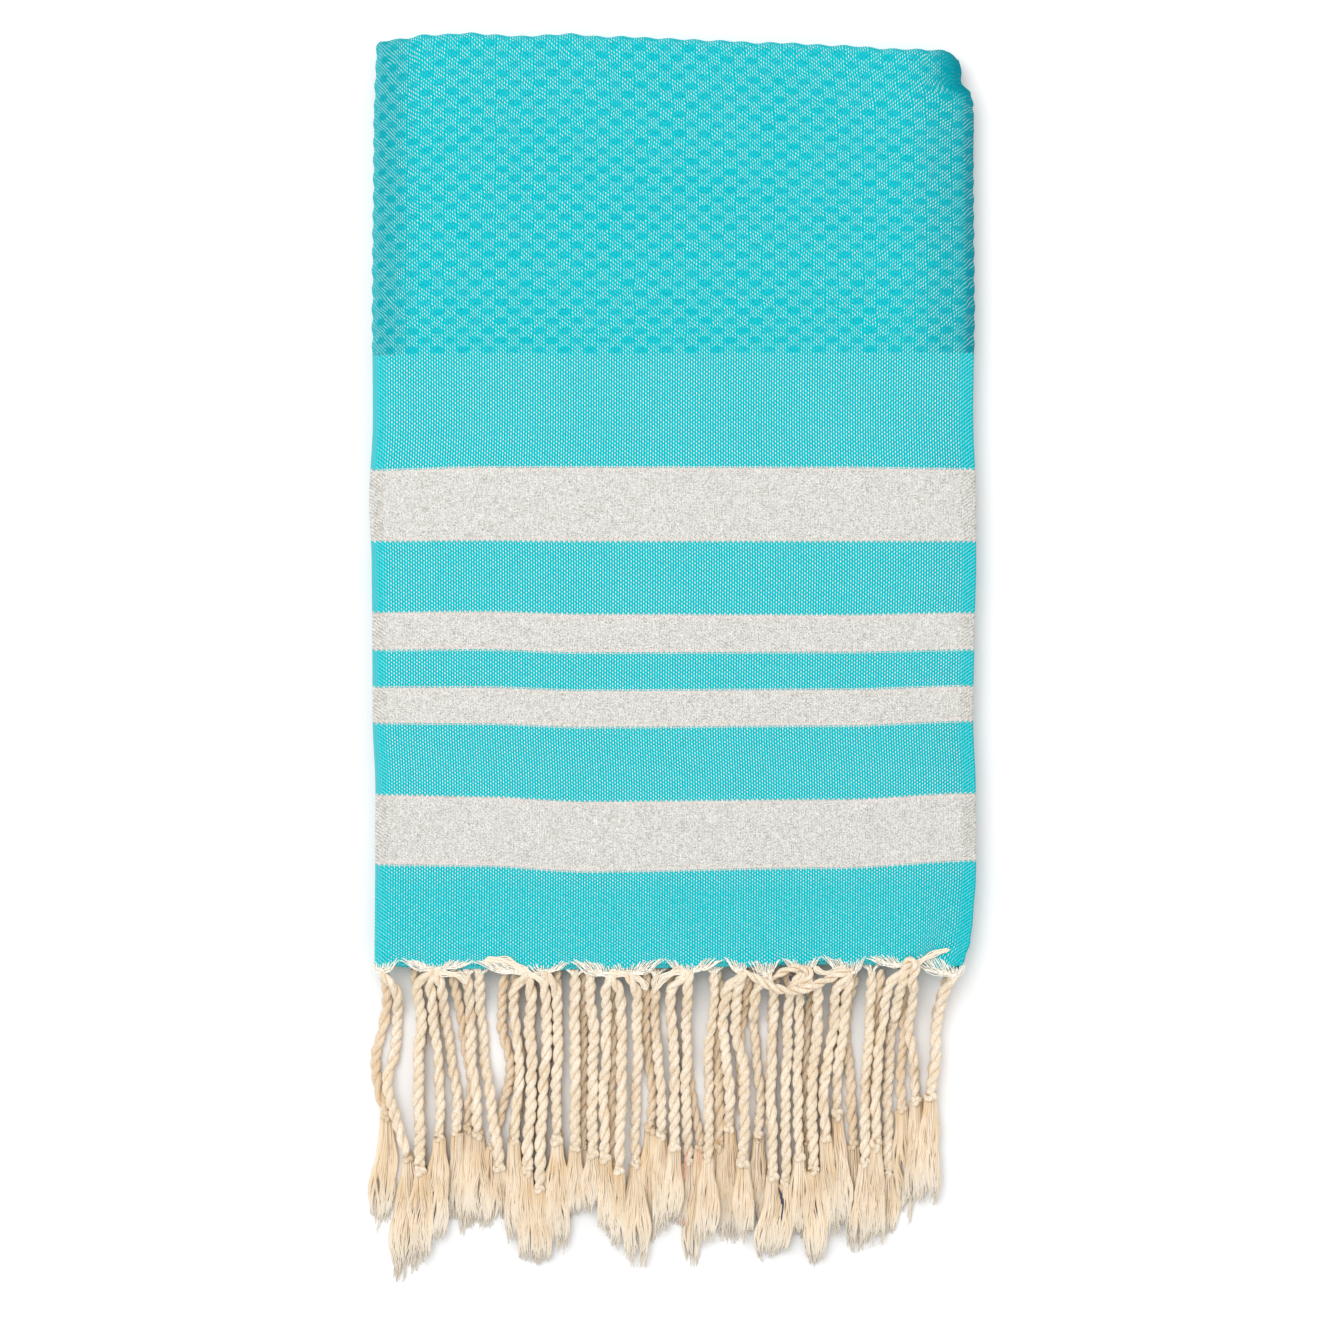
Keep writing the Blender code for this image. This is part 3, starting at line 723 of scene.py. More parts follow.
TURQUOISE = colour(0, 180, 185)
BRIGHT_TURQUOISE = colour(0, 203, 208)
DEEP_TURQUOISE = colour(0, 118, 132)
SOLID_TURQUOISE = colour(0, 172, 183)
BLUE_TURQUOISE = colour(0, 186, 206)
# a painted highlight on the left side fold
LIT_FOLD_TURQUOISE = colour(84, 176, 184)
WHITE_WARP = colour(230, 231, 224)
PINK_WARP = colour(226, 206, 200)
IVORY = colour(203, 202, 196)
IVORY_LIGHT = colour(224, 223, 218)
IVORY_DARK = colour(166, 162, 154)
IVORY_PINK = colour(222, 206, 199)
CREAM = colour(226, 210, 187)
CREAM_LIGHT = colour(240, 227, 208)
FIBRE_WHITE = colour(248, 238, 224)
CREAM_TAN = colour(212, 184, 140)
# painted warm shade of the plies
PLY_SHADE_TAN = colour(196, 154, 98)
GOLDEN_TAN = colour(220, 182, 122)
TIP_GREY = colour(226, 222, 212)
HEM_WHITE = colour(250, 248, 241)
THREAD_SHADE = colour(226, 214, 192)
STRAY_SHADES = {
    "navy": (colour(42, 42, 60), colour(74, 74, 96)),
    "teal": (colour(66, 104, 118), colour(122, 160, 166)),
    "rose": (colour(222, 128, 108), colour(238, 168, 150)),
}
FLOOR_WHITE = (0.86, 0.86, 0.86, 1.0)


def lattice(u, end, field):
    """The staggered lattice of white warp dots: columns, rows, cells and the place in a cell."""
    # The weave draws together where it rounds the side folds
    left_turn = (u * -1 + (PANEL_START_U + LEFT_TURN)).at_least(0.0).at_most(LEFT_TURN)
    right_turn = (u - (PANEL_END_U - RIGHT_TURN)).at_least(0.0).at_most(RIGHT_TURN)
    drawn_in = right_turn * right_turn * RIGHT_DRAW - left_turn * left_turn * LEFT_DRAW
    cell = (u - PANEL_MIDDLE_U + drawn_in * field) / CELL_WIDTH
    in_cell = cell.part() - 0.5
    drawn = (in_cell * (field * CELL_DRAW + 1)).at_least(-0.4999).at_most(0.4999)
    columns = (cell.whole() + drawn + 0.5) * CELL_COLUMNS
    # The rows lie closer towards the hems
    slow = end.at_most(CLOSER_UP_TO)
    rows = end * ROWS_A_METRE - slow * (end * 2 - slow) * CLOSER_ROWS
    return columns, rows, cell, in_cell


def woven_finish(length):
    """Plain weave with staggered white dots, honeycomb cells, and silvery bands."""
    finish = Finish("turquoise_weave")
    u, v = finish.laid("weave")
    end = v.at_most(v * -1 + length)
    field = end.ramp(HONEYCOMB_START, HONEYCOMB_START + 0.6 * MM)
    calm = end.ramp(HONEYCOMB_START, HONEYCOMB_START + 12 * MM)
    wander = finish.cloud(u * 70, v * 90, 3) - 0.5
    sag = finish.cloud(u * 110, v * 60, 6) - 0.5
    woven_u = u + wander * calm * WANDER
    woven_end = end + sag * calm * WANDER
    columns, rows, cell, in_cell = lattice(woven_u, woven_end, field)
    row = rows + (columns.whole() * 0.5).part()
    dx = columns.part() - 0.5
    dy = row.part() - 0.5
    luck = finish.chance(columns.whole(), row.whole())
    hue = finish.chance(columns.whole(), row.whole(), 3)

    # Strokes lean to the left, and to the right at the right side
    turned = (u - PANEL_MIDDLE_U).ramp(85 * MM, 135 * MM)
    lean = (turned * -2 + 1) * (field * 0.35 + 0.25)
    across = (dx + dy * lean) / 0.25
    along = dy / 0.28
    dot = (across * across + along * along).ramp(1.25, 0.50)

    # Beside the side folds they run into slanting lines, and the fold itself is plain, with a painted
    # highlight on the left one
    from_left = u - PANEL_START_U
    from_right = u * -1 + PANEL_END_U
    reach = field * -4 * MM
    left_side = (from_left + reach).ramp(9 * MM, 4 * MM)
    right_side = (from_right + reach * 0.25).ramp(8 * MM, 4 * MM)
    down_right = ((rows + columns * 0.5 - 0.25).part() - 0.5).size().ramp(0.19, 0.06)
    up_right = ((rows - columns * 0.5 + 0.25).part() - 0.5).size().ramp(0.19, 0.06)
    near_hem = end.ramp(52 * MM, 40 * MM)
    lit_fold_strip = from_left.ramp(2.8 * MM, 0.8 * MM) * (field * 0.5 + near_hem * 0.65).inverse()
    left_lines = down_right * left_side * (field * 0.28 + near_hem * 0.20 + 0.32)
    right_lines = up_right * right_side * (field * 0.1 + 0.33)
    corner = end.ramp(476 * MM, 488 * MM) * from_right.ramp(17 * MM, 7 * MM)
    dot = dot * (left_side + right_side).inverse().at_least(0.0) + (left_lines + right_lines)
    dot = dot * (corner * 0.9).inverse() * (lit_fold_strip * 0.85).inverse()

    # Honeycomb cells: a rounded solid place in each, staggered like a checkerboard
    odd_cell = (cell.whole() * 0.5).part()
    climbs = (woven_end - FIRST_SOLID) / CELL_REPEAT + 0.5 + odd_cell
    climb = climbs.part() - 0.5
    own = finish.chance(cell.whole(), climbs.whole(), 5)
    begun = (end - climb * CELL_REPEAT).ramp(HONEYCOMB_START, HONEYCOMB_START + 1.0 * MM)
    wide, tall = in_cell / 0.46, climb / 0.200
    wide, tall = wide * wide, tall * tall
    from_middle = wide * (wide + 1) + tall * (tall + 1)
    solid = (from_middle * (own * 0.5 + 0.75)).ramp(2.6, 0.8) * begun
    seam = in_cell.size().ramp(0.45, 0.49) * field
    whiteness = luck * 0.46 + 0.53 - field * 0.11 - near_hem * 0.24
    dots = dot * whiteness * (solid * (own * -0.14 + 0.92)).inverse()

    # Colour of the turquoise ground: painted shade in the hollows beside the dots and towards the right
    # side fold, which turns away from the light, and darker towards the left fold and at the top right
    # corner
    rib = dx.size().ramp(0.20, 0.5)
    beside = rib * dy.size().ramp(0.42, 0.10)
    # painted shade in the hollows between the threads, beside the dots
    painted_hollow_shade = (rib * 0.22 + beside * 0.5) * (solid + seam * 0.8).at_most(1.0).inverse()
    mottle = finish.cloud(u * 900, v * 700, detail=3.0)
    speck = finish.cloud(u * 1300, v * 950, 9, detail=1.0)
    beside_left = from_left.ramp(26 * MM, 4 * MM) * field
    # painted shade towards the right side fold and on the fold itself, which turn away from the light
    right_side_shade = from_right.ramp(42 * MM, 2 * MM) * (field * 0.6 + 0.2)
    right_fold_shade = from_right.ramp(7 * MM, 1 * MM) * field
    ground = finish.blend(
        TURQUOISE,
        (mottle.ramp(0.38, 0.68), BRIGHT_TURQUOISE),
        (hue * 0.2, BLUE_TURQUOISE),
        (painted_hollow_shade, DEEP_TURQUOISE),
        (solid.at_least(seam * 0.12) * 0.8, SOLID_TURQUOISE),
        (speck.ramp(0.46, 0.30) * (solid * 0.45 + 0.35), DEEP_TURQUOISE),
        # darker towards the left fold and at the top right corner, and painted shade towards the right fold
        (beside_left * 0.40 + right_side_shade * 0.50 + corner * 0.3, DEEP_TURQUOISE),
        # painted shade on the right fold, which turns away from the light; the seams are darker too
        ((right_fold_shade * 0.75).at_least(seam * 0.15), DEEP_TURQUOISE),
        # painted highlight on the strip of the left fold, which faces the light
        (lit_fold_strip * 0.7, LIT_FOLD_TURQUOISE),
    )
    thread = finish.blend(WHITE_WARP, (hue.ramp(0.55, 0.95) * 0.8, PINK_WARP))

    # Silvery bands, with teeth one column wide where they meet the turquoise
    odd = (columns.whole() * 0.5).part() * 2
    teeth = end + (odd - 0.5) * TOOTH
    band, border = None, None
    for low, high in BANDS:
        rises = teeth.ramp(low - BAND_EDGE, low + BAND_EDGE)
        inside = rises * teeth.ramp(high + BAND_EDGE, high - BAND_EDGE)
        near_low = (end - (low + BORDER_IN)).size().ramp(0.9 * MM, 0.3 * MM)
        near_high = (end - (high - BORDER_IN)).size().ramp(0.9 * MM, 0.3 * MM)
        both = near_low.at_least(near_high)
        band = inside if band is None else band.at_least(inside)
        border = both if border is None else border.at_least(both)
    fleck = finish.chance((u / FLECK_WIDTH).whole(), (v / FLECK_LENGTH).whole())
    weft_streak = finish.cloud(u * 200, v * 1900, detail=1.0)
    warp_streak = finish.cloud(u * 1800, v * 190, 5, detail=1.0)
    broad = finish.cloud(u * 90, v * 160, 8, detail=1.0)
    slant = down_right * left_side + up_right * right_side - (left_side + right_side) * 0.5
    tone = weft_streak * 0.32 + warp_streak * 0.30 + fleck * 0.30 + broad * 0.08 + slant * 0.24
    silver = finish.blend(
        IVORY_DARK,
        (tone.ramp(0.28, 0.50), IVORY),
        (tone.ramp(0.48, 0.70), IVORY_LIGHT),
        (fleck.ramp(0.04, 0.0) * 0.55, IVORY_DARK),
        (border * (odd * 0.4 + 0.1), IVORY_PINK),
    )
    glint = fleck.ramp(0.90, 0.97) * band
    finish.raised(dots * 0.7 + rib * -0.3 + band * (tone * 0.8), 0.35 * MM)
    woven = finish.blend(ground, (dots, thread), (band, silver))
    return finish.surface(woven, glint * -0.5 + 0.92, 0.02, 0.5, 0.05)


def cord_points(cord):
    """The places of a cord as (y, x) pairs, from its root to its tip."""
    points = [(ROOT_Y - drop, x) for drop, x in zip(LEVEL_DROPS, cord.levels)]
    if points[-1][0] - cord.knot_y < 2 * KNOT_HALF:
        points.pop()
    return [*points, (cord.knot_y, cord.knot_x), (cord.tip_y, cord.tip_x)]


def cord_place(points, y):
    """The x and the slope dx/dy at a height y, on a smooth curve through the points."""
    last = len(points) - 1
    slopes = []
    for i in range(last + 1):
        before, after = points[max(i - 1, 0)], points[min(i + 1, last)]
        slopes.append((after[1] - before[1]) / (after[0] - before[0]))
    i = 0
    while i < last - 1 and y < points[i + 1][0]:
        i += 1
    (y0, x0), (y1, x1) = points[i], points[i + 1]
    span = y1 - y0
    t = (y - y0) / span
    a = x0 * (1 + 2 * t) * (1 - t) ** 2 + x1 * t**2 * (3 - 2 * t)
    b = slopes[i] * t * (1 - t) ** 2 + slopes[i + 1] * t**2 * (t - 1)
    da = 6 * t * (t - 1) * (x0 - x1) / span
    db = slopes[i] * (1 - t) * (1 - 3 * t) + slopes[i + 1] * t * (3 * t - 2)
    return a + b * span, da + db


def cord_sections(cord):
    """A cord's sections below its root, as wide as its solid is there."""
    points = cord_points(cord)
    neck_y = cord.knot_y - KNOT_HALF
    widths = []
    for step in range(1, FALL_STEPS + 1):
        share = step / FALL_STEPS
        widths.append((ROOT_Y - FALL_LENGTH * share, between(ROOT_WIDTH, CORD_WIDTH, smooth_step(share))))
    for step in range(1, LEVEL_STEPS + 1):
        y = between(ROOT_Y - FALL_LENGTH, cord.knot_y + KNOT_HALF, step / LEVEL_STEPS)
        widths.append((y, CORD_WIDTH))
    widths += (
        (cord.knot_y, KNOT_WIDTH),
        (neck_y, NECK_WIDTH),
        (between(neck_y, cord.tip_y, 0.45), between(NECK_WIDTH, cord.spread, 0.75)),
        (between(neck_y, cord.tip_y, 0.85), cord.spread),
        (cord.tip_y, TIP_SHARE * cord.spread),
    )
    return [Section(y, *cord_place(points, y), width) for y, width in widths]


def section_at(sections, y):
    """The section of a cord at a height y, or nothing where the cord doesn't reach."""
    for low, high in zip(sections, sections[1:]):
        if high.y <= y <= low.y:
            share = (y - low.y) / (high.y - low.y)
            return Section(*(between(a, b, share) for a, b in zip(low, high)))
    return None


def side_room(section, other):
    """The room beside a cord's section, up to another cord."""
    beside = section_at(other, section.y)
    if beside is None:
        return math.inf
    lean = math.hypot(1.0, max(abs(section.slope), abs(beside.slope)))
    return abs(section.x - beside.x) - lean * (section.width + beside.width) / 2


def parted(one, other):
    """Whether two cords lie clear of each other, at the heights of their sections."""
    rooms = [side_room(section, other) for section in one]
    rooms += [side_room(section, one) for section in other]
    return min(rooms) > CORD_CLEARANCE


def hidden_cords():
    """Cords of the back end that lie unseen right under one of the front end's."""
    seen = [cord_sections(cord) for cord in BACK_CORDS]
    under = [cord._replace(tip_y=cord.tip_y + HIDDEN_SHORTER) for cord in FRONT_CORDS]
    return [cord for cord in under if all(parted(cord_sections(cord), other) for other in seen)]


def rest_heights(sections, lower_cords):
    """Where each section of a cord rests: on the floor, or over a cord that it crosses."""
    heights = [0.0] * len(sections)
    for i in range(len(sections) - 1):
        for test in range(SPAN_TESTS + 1):
            y = between(sections[i].y, sections[i + 1].y, test / SPAN_TESTS)
            here = section_at(sections, y)
            if any(side_room(here, lower) < CORD_CLEARANCE for lower in lower_cords):
                heights[i] = heights[i + 1] = CROSSING_Z
    return heights


# A cord's two plies: radius of each, and how far it lies from the cord's middle
PLY_RADIUS = 1.92 * MM
PLY_OFFSET = 1.22 * MM
PLY_FLAT = 0.80  # height of a cord as a share of its width
TWIST_PITCH = 14.8 * MM
ROOT_START = 2.4 * MM  # how far above its solid's root a cord begins
GATHER_START = 0.6 * MM  # how far above a gather a cord begins that starts at it
KNOT_OVERLAP = 0.5 * MM  # how far above the knot's middle the plies end
OPENS_IN = 6 * MM  # over what length the plies open below their start
CLOSES_IN = 5 * MM  # over what length they close above the knot
LOOSENING_WAVE = 6.5 * MM
PLY_STEP = 1.0 * MM
GROOVE_TILT = 0.75 * math.pi  # turns the start of a ply's map to face the other ply
LAYER_RISE = {"a": LAYER_PITCH, "b": 0.0, "c": -LAYER_PITCH}
GATHER_REACH = 11 * MM  # how far from a gather a cord may lie that starts at it
GATHER_FALL = 11 * MM  # how far down such a cord reaches its own line
GATHER_PULL = 0.85
SWAY_REPEAT = 31 * MM
SWAY_BEGINS = 20 * MM

# A knot: reach and depth of its loops, radius of its strand, and the steps along it
KNOT_LOOP = 0.74 * MM
KNOT_DEPTH = 1.35 * MM
KNOT_STRAND = 1.42 * MM
KNOT_MIDDLE_Z = 3.4 * MM
KNOT_CLOVER = 1.9  # how much further its three leaves reach than the round they turn on
KNOT_CLOSED = 0.97  # how much of the whole round its strand takes
KNOT_STEPS = 44

# A tassel: how much wider than its solid, its clumps of yarn, and the steps of a yarn
TASSEL_FULLNESS = 1.72
TASSEL_CORE = 12  # thick soft yarns that lie under the fine ones
TASSEL_CLUMPS = 7
TASSEL_STEPS = 13
YARN_START = 1.0 * MM  # how far below the knot's middle the yarns begin
YARN_LIFT = 0.05 * MM  # the least room under a yarn
NECK_HALF = 2.9 * MM  # half the tassel's width at its neck, and its heights
NECK_TALL = 4.2 * MM
ENDS_TALL = 1.4 * MM
LOCK_TALL = 0.8 * MM  # how much higher the middle of a lock lies
OPENS_BY = 0.42  # the share of the fall in which a tassel opens
CORE_EDGE = 0.94  # how far out the core yarns lie, as a share of half the width
CORE_DEEP = 0.42  # how high they lie, as a share of the tassel's height
TASSELS_PART_X = -4 * MM  # where the tassels are parted into two pieces
FRONT_YARNS = 104
BACK_YARNS = 48


class Wave(namedtuple("Wave", "phase height pace")):
    """A regular sideways wave of a strand."""

    def at(self, distance):
        return self.height * math.sin(self.pace * distance + self.phase)


def drawn_wave(luck, heights, paces):
    """A wave drawn by chance between two heights and two paces, for millimetres."""
    return Wave(luck.uniform(0, 6.3), luck.uniform(*heights) * MM, luck.uniform(*paces) / MM)


def gather_of(cord):
    """The gather of the hem that a cord's threads come from, or nothing."""
    nearest = min(GATHERS, key=lambda gather: abs(gather.x - cord.levels[0]))
    return nearest if abs(nearest.x - cord.levels[0]) < GATHER_REACH else None


class Lay:
    """How one cord lies: its line, its rest heights, and the level that it starts from."""

    def __init__(self, cord, lower_cords, root_z, seed, gather=None):
        self.cord = cord
        self.gather = gather
        self.luck = random.Random(seed)
        self.points = cord_points(cord)
        sections = cord_sections(cord)
        heights = rest_heights(sections, lower_cords)
        self.levels = [(-section.y, height) for section, height in zip(sections, heights)]
        self.root_z = root_z
        self.start_y = gather.y + GATHER_START if gather else ROOT_Y + ROOT_START
        self.phase = self.luck.uniform(0, 2 * math.pi)
        self.pitch = TWIST_PITCH * self.luck.uniform(0.88, 1.16)
        self.size = self.luck.uniform(0.94, 1.08)
        self.sway = self.luck.uniform(0.15, 0.4) * MM
        self.loosening = self.luck.uniform(0.3, 0.8)
        self.knot_size = self.luck.uniform(0.86, 1.12)

    def rest(self, y):
        """The level that the cord rests on at a height y."""
        return eased(self.levels, -y)[0]

    def middle(self, y):
        """The x and the slope of the cord's middle line, with its sway."""
        x, slope = cord_place(self.points, y)
        if self.gather:
            pull = ramp(self.start_y - y, GATHER_FALL, 0)
            x += GATHER_PULL * pull * (self.gather.x - self.cord.levels[0])
        sway = math.sin(2 * math.pi * y / SWAY_REPEAT + self.phase)
        return x + ramp(ROOT_Y - y, 0, SWAY_BEGINS) * self.sway * sway, slope

    def lift(self, y):
        """1 at the root's level, and 0 where the cord has come down to rest."""
        return ramp(ROOT_Y - y, FALL_LENGTH, 0)


def front_lays(lower_cords):
    luck = random.Random(3)
    lays = []
    for i, cord in enumerate(FRONT_CORDS):
        gather = gather_of(cord)
        root_z = FRONT_Z - LAYER_PITCH
        if gather:
            root_z = cloth_top(gather.x, gather.y) + luck.uniform(-0.9, 0.4) * MM
        lays.append(Lay(cord, lower_cords, root_z, 100 + i, gather))
    return lays


def back_lays(cords):
    return [Lay(cord, (), INNER_Z - LAYER_RISE[cord.layer], 500 + i) for i, cord in enumerate(cords)]


class Strands:
    """Many thin strands that become one piece: each one is a path of spots."""

    def __init__(self, name, sides):
        self.name = name
        self.curve = bpy.data.curves.new(name, "CURVE")
        self.curve.dimensions = "3D"
        self.curve.fill_mode = "FULL"
        self.curve.bevel_depth = 1.0
        self.curve.twist_mode = "Z_UP"
        self.curve.bevel_resolution = (sides - 4) // 2
        self.curve.use_fill_caps = True

    def add(self, *paths):
        for path in paths:
            line = self.curve.splines.new("POLY")
            line.points.add(len(path) - 1)
            for point, spot in zip(line.points, path):
                point.co = (*spot.place, 1.0)
                point.radius = spot.radius
                point.tilt = spot.tilt

    def piece(self, finish, node, slot_name):
        """All strands as one piece, with their ends closed."""
        holder = placed(self.name + "_paths", self.curve)
        seen = bpy.context.evaluated_depsgraph_get()
        mesh = bpy.data.meshes.new_from_object(holder.evaluated_get(seen))
        bpy.data.objects.remove(holder, do_unlink=True)
        bpy.data.curves.remove(self.curve)
        body = bmesh.new()
        body.from_mesh(mesh)
        bpy.data.meshes.remove(mesh)
        bmesh.ops.remove_doubles(body, verts=body.verts[:], dist=0.002 * MM)
        return piece_from(self.name, body, finish, node)


def ply_path(lay, side):
    """One of a cord's two plies, from the hem down to the knot."""
    knot_y = lay.cord.knot_y
    end_y = knot_y + KNOT_OVERLAP
    steps = round((lay.start_y - end_y) / PLY_STEP)
    path = []
    for step in range(steps + 1):
        y = between(lay.start_y, end_y, step / steps)
        x, slope = lay.middle(y)
        fallen = lay.start_y - y
        turn = lay.phase + 2 * math.pi * fallen / lay.pitch + math.pi * side
        turn += lay.loosening * math.sin(fallen / LOOSENING_WAVE + lay.phase)
        opened = between(0.70, 1.0, ramp(fallen, 0, OPENS_IN))
        size = lay.size * opened * between(0.8, 1.0, ramp(y, knot_y, knot_y + CLOSES_IN))
        radius = PLY_RADIUS * size * (0.98 + 0.17 * uneven(x * 400, y * 170, side * 9.0))
        offset = PLY_OFFSET * size * (0.98 + 0.22 * uneven(x * 300, y * 90, 3.0))
        aside = Vector((1.0, -slope, 0.0)).normalized()
        middle_z = between(lay.rest(y) + radius + offset * PLY_FLAT, lay.root_z, lay.lift(y))
        place = Vector((x, y, middle_z + offset * PLY_FLAT * math.sin(turn)))
        path.append(Spot(place + aside * offset * math.cos(turn), radius, turn + GROOVE_TILT))
    return path


def knot_path(lay):
    """The strand of an overhand knot, pulled tight round the cord's end."""
    knot_y = lay.cord.knot_y
    size = lay.size * lay.knot_size
    middle = Vector((lay.middle(knot_y)[0], knot_y, lay.rest(knot_y) + KNOT_MIDDLE_Z * size))
    start = lay.luck.uniform(0, 2 * math.pi)
    spin = lay.luck.uniform(0, 2 * math.pi)
    stretch = lay.luck.uniform(0.95, 1.55)
    path = []
    for step in range(KNOT_STEPS + 1):
        turn = start + 2 * math.pi * KNOT_CLOSED * step / KNOT_STEPS
        across = math.sin(turn) + KNOT_CLOVER * math.sin(2 * turn)
        along = math.cos(turn) - KNOT_CLOVER * math.cos(2 * turn)
        x = (across * math.cos(spin) - along * math.sin(spin)) * KNOT_LOOP
        y = (across * math.sin(spin) + along * math.cos(spin)) * KNOT_LOOP * stretch
        place = Vector((x, y, -math.sin(3 * turn) * KNOT_DEPTH))
        radius = lay.luck.uniform(0.96, 1.04) * KNOT_STRAND * size
        path.append(Spot(middle + place * size, radius, -GROOVE_TILT))
    return path


def clamped(value, limit):
    return min(max(value, -limit), limit)


def tassel_paths(lay, yarns):
    """A tassel's yarns, in wavy locks, from the knot to their ends. The core comes first."""
    luck = lay.luck
    half_spread = TASSEL_FULLNESS * lay.cord.spread / 2
    start_y = lay.cord.knot_y - YARN_START
    neck_y = lay.cord.knot_y - KNOT_HALF
    fall = neck_y - lay.cord.tip_y
    clumps = []
    for _ in range(TASSEL_CLUMPS):
        clumps.append((drawn_wave(luck, (0.4, 1.3), (0.10, 0.20)), luck.uniform(0.84, 1.03)))
    paths = []
    for yarn in range(yarns):
        core = yarn < TASSEL_CORE
        across = between(-CORE_EDGE, CORE_EDGE, yarn / (TASSEL_CORE - 1)) if core else luck.uniform(-1, 1)
        deep = CORE_DEEP if core else luck.random()
        lock = min(int((across + 1) / 2 * TASSEL_CLUMPS), TASSEL_CLUMPS - 1)
        lock_middle = (lock + 0.5) / TASSEL_CLUMPS * 2 - 1
        lock_top = math.sqrt(max(1 - ((across - lock_middle) * TASSEL_CLUMPS) ** 2, 0.0))
        wave, reach = clumps[lock]
        own = drawn_wave(luck, (0.3, 0.95), (0.14, 0.30))
        reach *= luck.uniform(0.90, 1.03) if luck.random() < 0.8 else luck.uniform(0.55, 0.95)
        if core:
            reach = luck.uniform(0.80, 0.90)
        end_y = neck_y - reach * fall
        crosses = 0.0 if core else luck.uniform(-0.55, 0.55)
        radius = luck.uniform(0.88, 1.12) * MM if core else luck.uniform(0.29, 0.46) * MM
        round_top = math.sqrt(max(1 - 0.7 * across * across, 0.0))
        path = []
        for step in range(TASSEL_STEPS + 1):
            share = step / TASSEL_STEPS
            y = between(start_y, end_y, share)
            down = min(max((neck_y - y) / fall, 0.0), 1.1)
            opened = ramp(down, 0, OPENS_BY)
            half = between(NECK_HALF, half_spread, opened) * (1 - 0.3 * ramp(down, 0.6, 1.05))
            tall = between(NECK_TALL, ENDS_TALL, smooth_step(down * 1.05))
            aside = clamped(across + crosses * down, 1.05)
            if not core:
                aside = between(aside, lock_middle, 0.42 * opened)
            x = cord_place(lay.points, y)[0] + aside * half
            x += opened * (wave.at(start_y - y) + own.at(start_y - y))
            z = max(lay.rest(y), 0.0) + radius + YARN_LIFT + deep * tall * round_top
            z += LOCK_TALL * deep * lock_top * opened
            path.append(Spot(Vector((x, y, z)), between(radius, 0.55 * radius, ramp(share, 0.7, 1.0))))
        paths.append(path)
    return paths


def smooth_line(corners, steps):
    """Points of a smooth line through the corners."""
    corners = [Vector(corner) for corner in corners]
    points = []
    last = len(corners) - 1
    for step in range(steps + 1):
        at = step / steps * last
        i = min(int(at), last - 1)
        t = at - i
        a, b = corners[max(i - 1, 0)], corners[i]
        c, d = corners[i + 1], corners[min(i + 2, last)]
        squared = (2 * a - 5 * b + 4 * c - d) * t**2
        points.append(0.5 * (2 * b + (c - a) * t + squared + (3 * b - a - 3 * c + d) * t**3))
    return points


def thread(corners, radius):
    return [Spot(place, radius) for place in smooth_line(corners, LASH_STEPS)]


def lash_paths(luck):
    """The white warp threads that leave the front hem and draw together at each gather."""
    paths = []
    for gather in GATHERS:
        count = round((gather.right - gather.left) * CELL_COLUMNS / CELL_WIDTH * LASHES_A_COLUMN)
        for i in range(count):
            x = between(gather.left, gather.right, (i + 0.5) / count) + luck.uniform(-0.3, 0.3) * MM
            away = x - gather.x
            hem = HEM_Y + bow_at(x, HEM_Y) + front_hem_rise(x)
            up = luck.uniform(1.0, 3.4) * MM
            end_x = gather.x + away * 0.10 + luck.uniform(-1.4, 1.4) * MM
            end_y = gather.y + luck.uniform(-0.8, 1.3) * MM
            sag = luck.uniform(0.0, 2.0) * MM * ramp(abs(away), 0, HEM_REACH)
            top, end_z = cloth_top(x, hem), cloth_top(end_x, end_y)
            corners = (
                (x + 0.05 * away, hem + up, cloth_top(x, hem + up)),
                (x - 0.08 * away, hem + 0.4 * up, top + 0.40 * MM),
                (between(x, end_x, 0.45), between(hem, end_y, 0.6) - sag, top + 0.35 * MM),
                (end_x, end_y, end_z + luck.uniform(0.2, 1.3) * MM),
                (gather.x + away * 0.03, gather.y - 4 * MM, end_z - 1.6 * MM),
            )
            paths.append(thread(corners, luck.uniform(0.20, 0.33) * MM))
    return paths


def rope_paths(rope):
    """The strands of a rope at the hem: two are twisted, and more lie loosely side by side."""
    middle = smooth_line(metres(rope.route), ROPE_STEPS)
    twisted = rope.strands == 2
    width = rope.width * MM
    strand_radius = width / (3.5 if twisted else 1.5 * rope.strands)
    paths = []
    for strand in range(rope.strands):
        share = (strand + 0.5) / rope.strands - 0.5
        path = []
        walked = 0.0
        for i, place in enumerate(middle):
            before, after = middle[max(i - 1, 0)], middle[min(i + 1, ROPE_STEPS)]
            walked += (place - before).length
            along = (after - before).normalized()
            aside = Vector((-along.y, along.x, 0.0)).normalized()
            turn = 2 * math.pi * (walked / TWIST_PITCH + strand / rope.strands)
            offset = width * share * (1 + 0.3 * math.sin(1.3 * turn))
            if twisted:
                offset = 0.8 * strand_radius * math.cos(turn)
            ends = ramp(min(i, ROPE_STEPS - i), 0, ROPE_END_STEPS)
            swing = aside * offset + Vector((0, 0, 0.64 * strand_radius * math.sin(turn)))
            radius = strand_radius * between(rope.end_share, 1.0, ends)
            tilt = turn + GROOVE_TILT if twisted else -GROOVE_TILT
            path.append(Spot(place + swing * ends, radius, tilt))
        paths.append(path)
    return paths


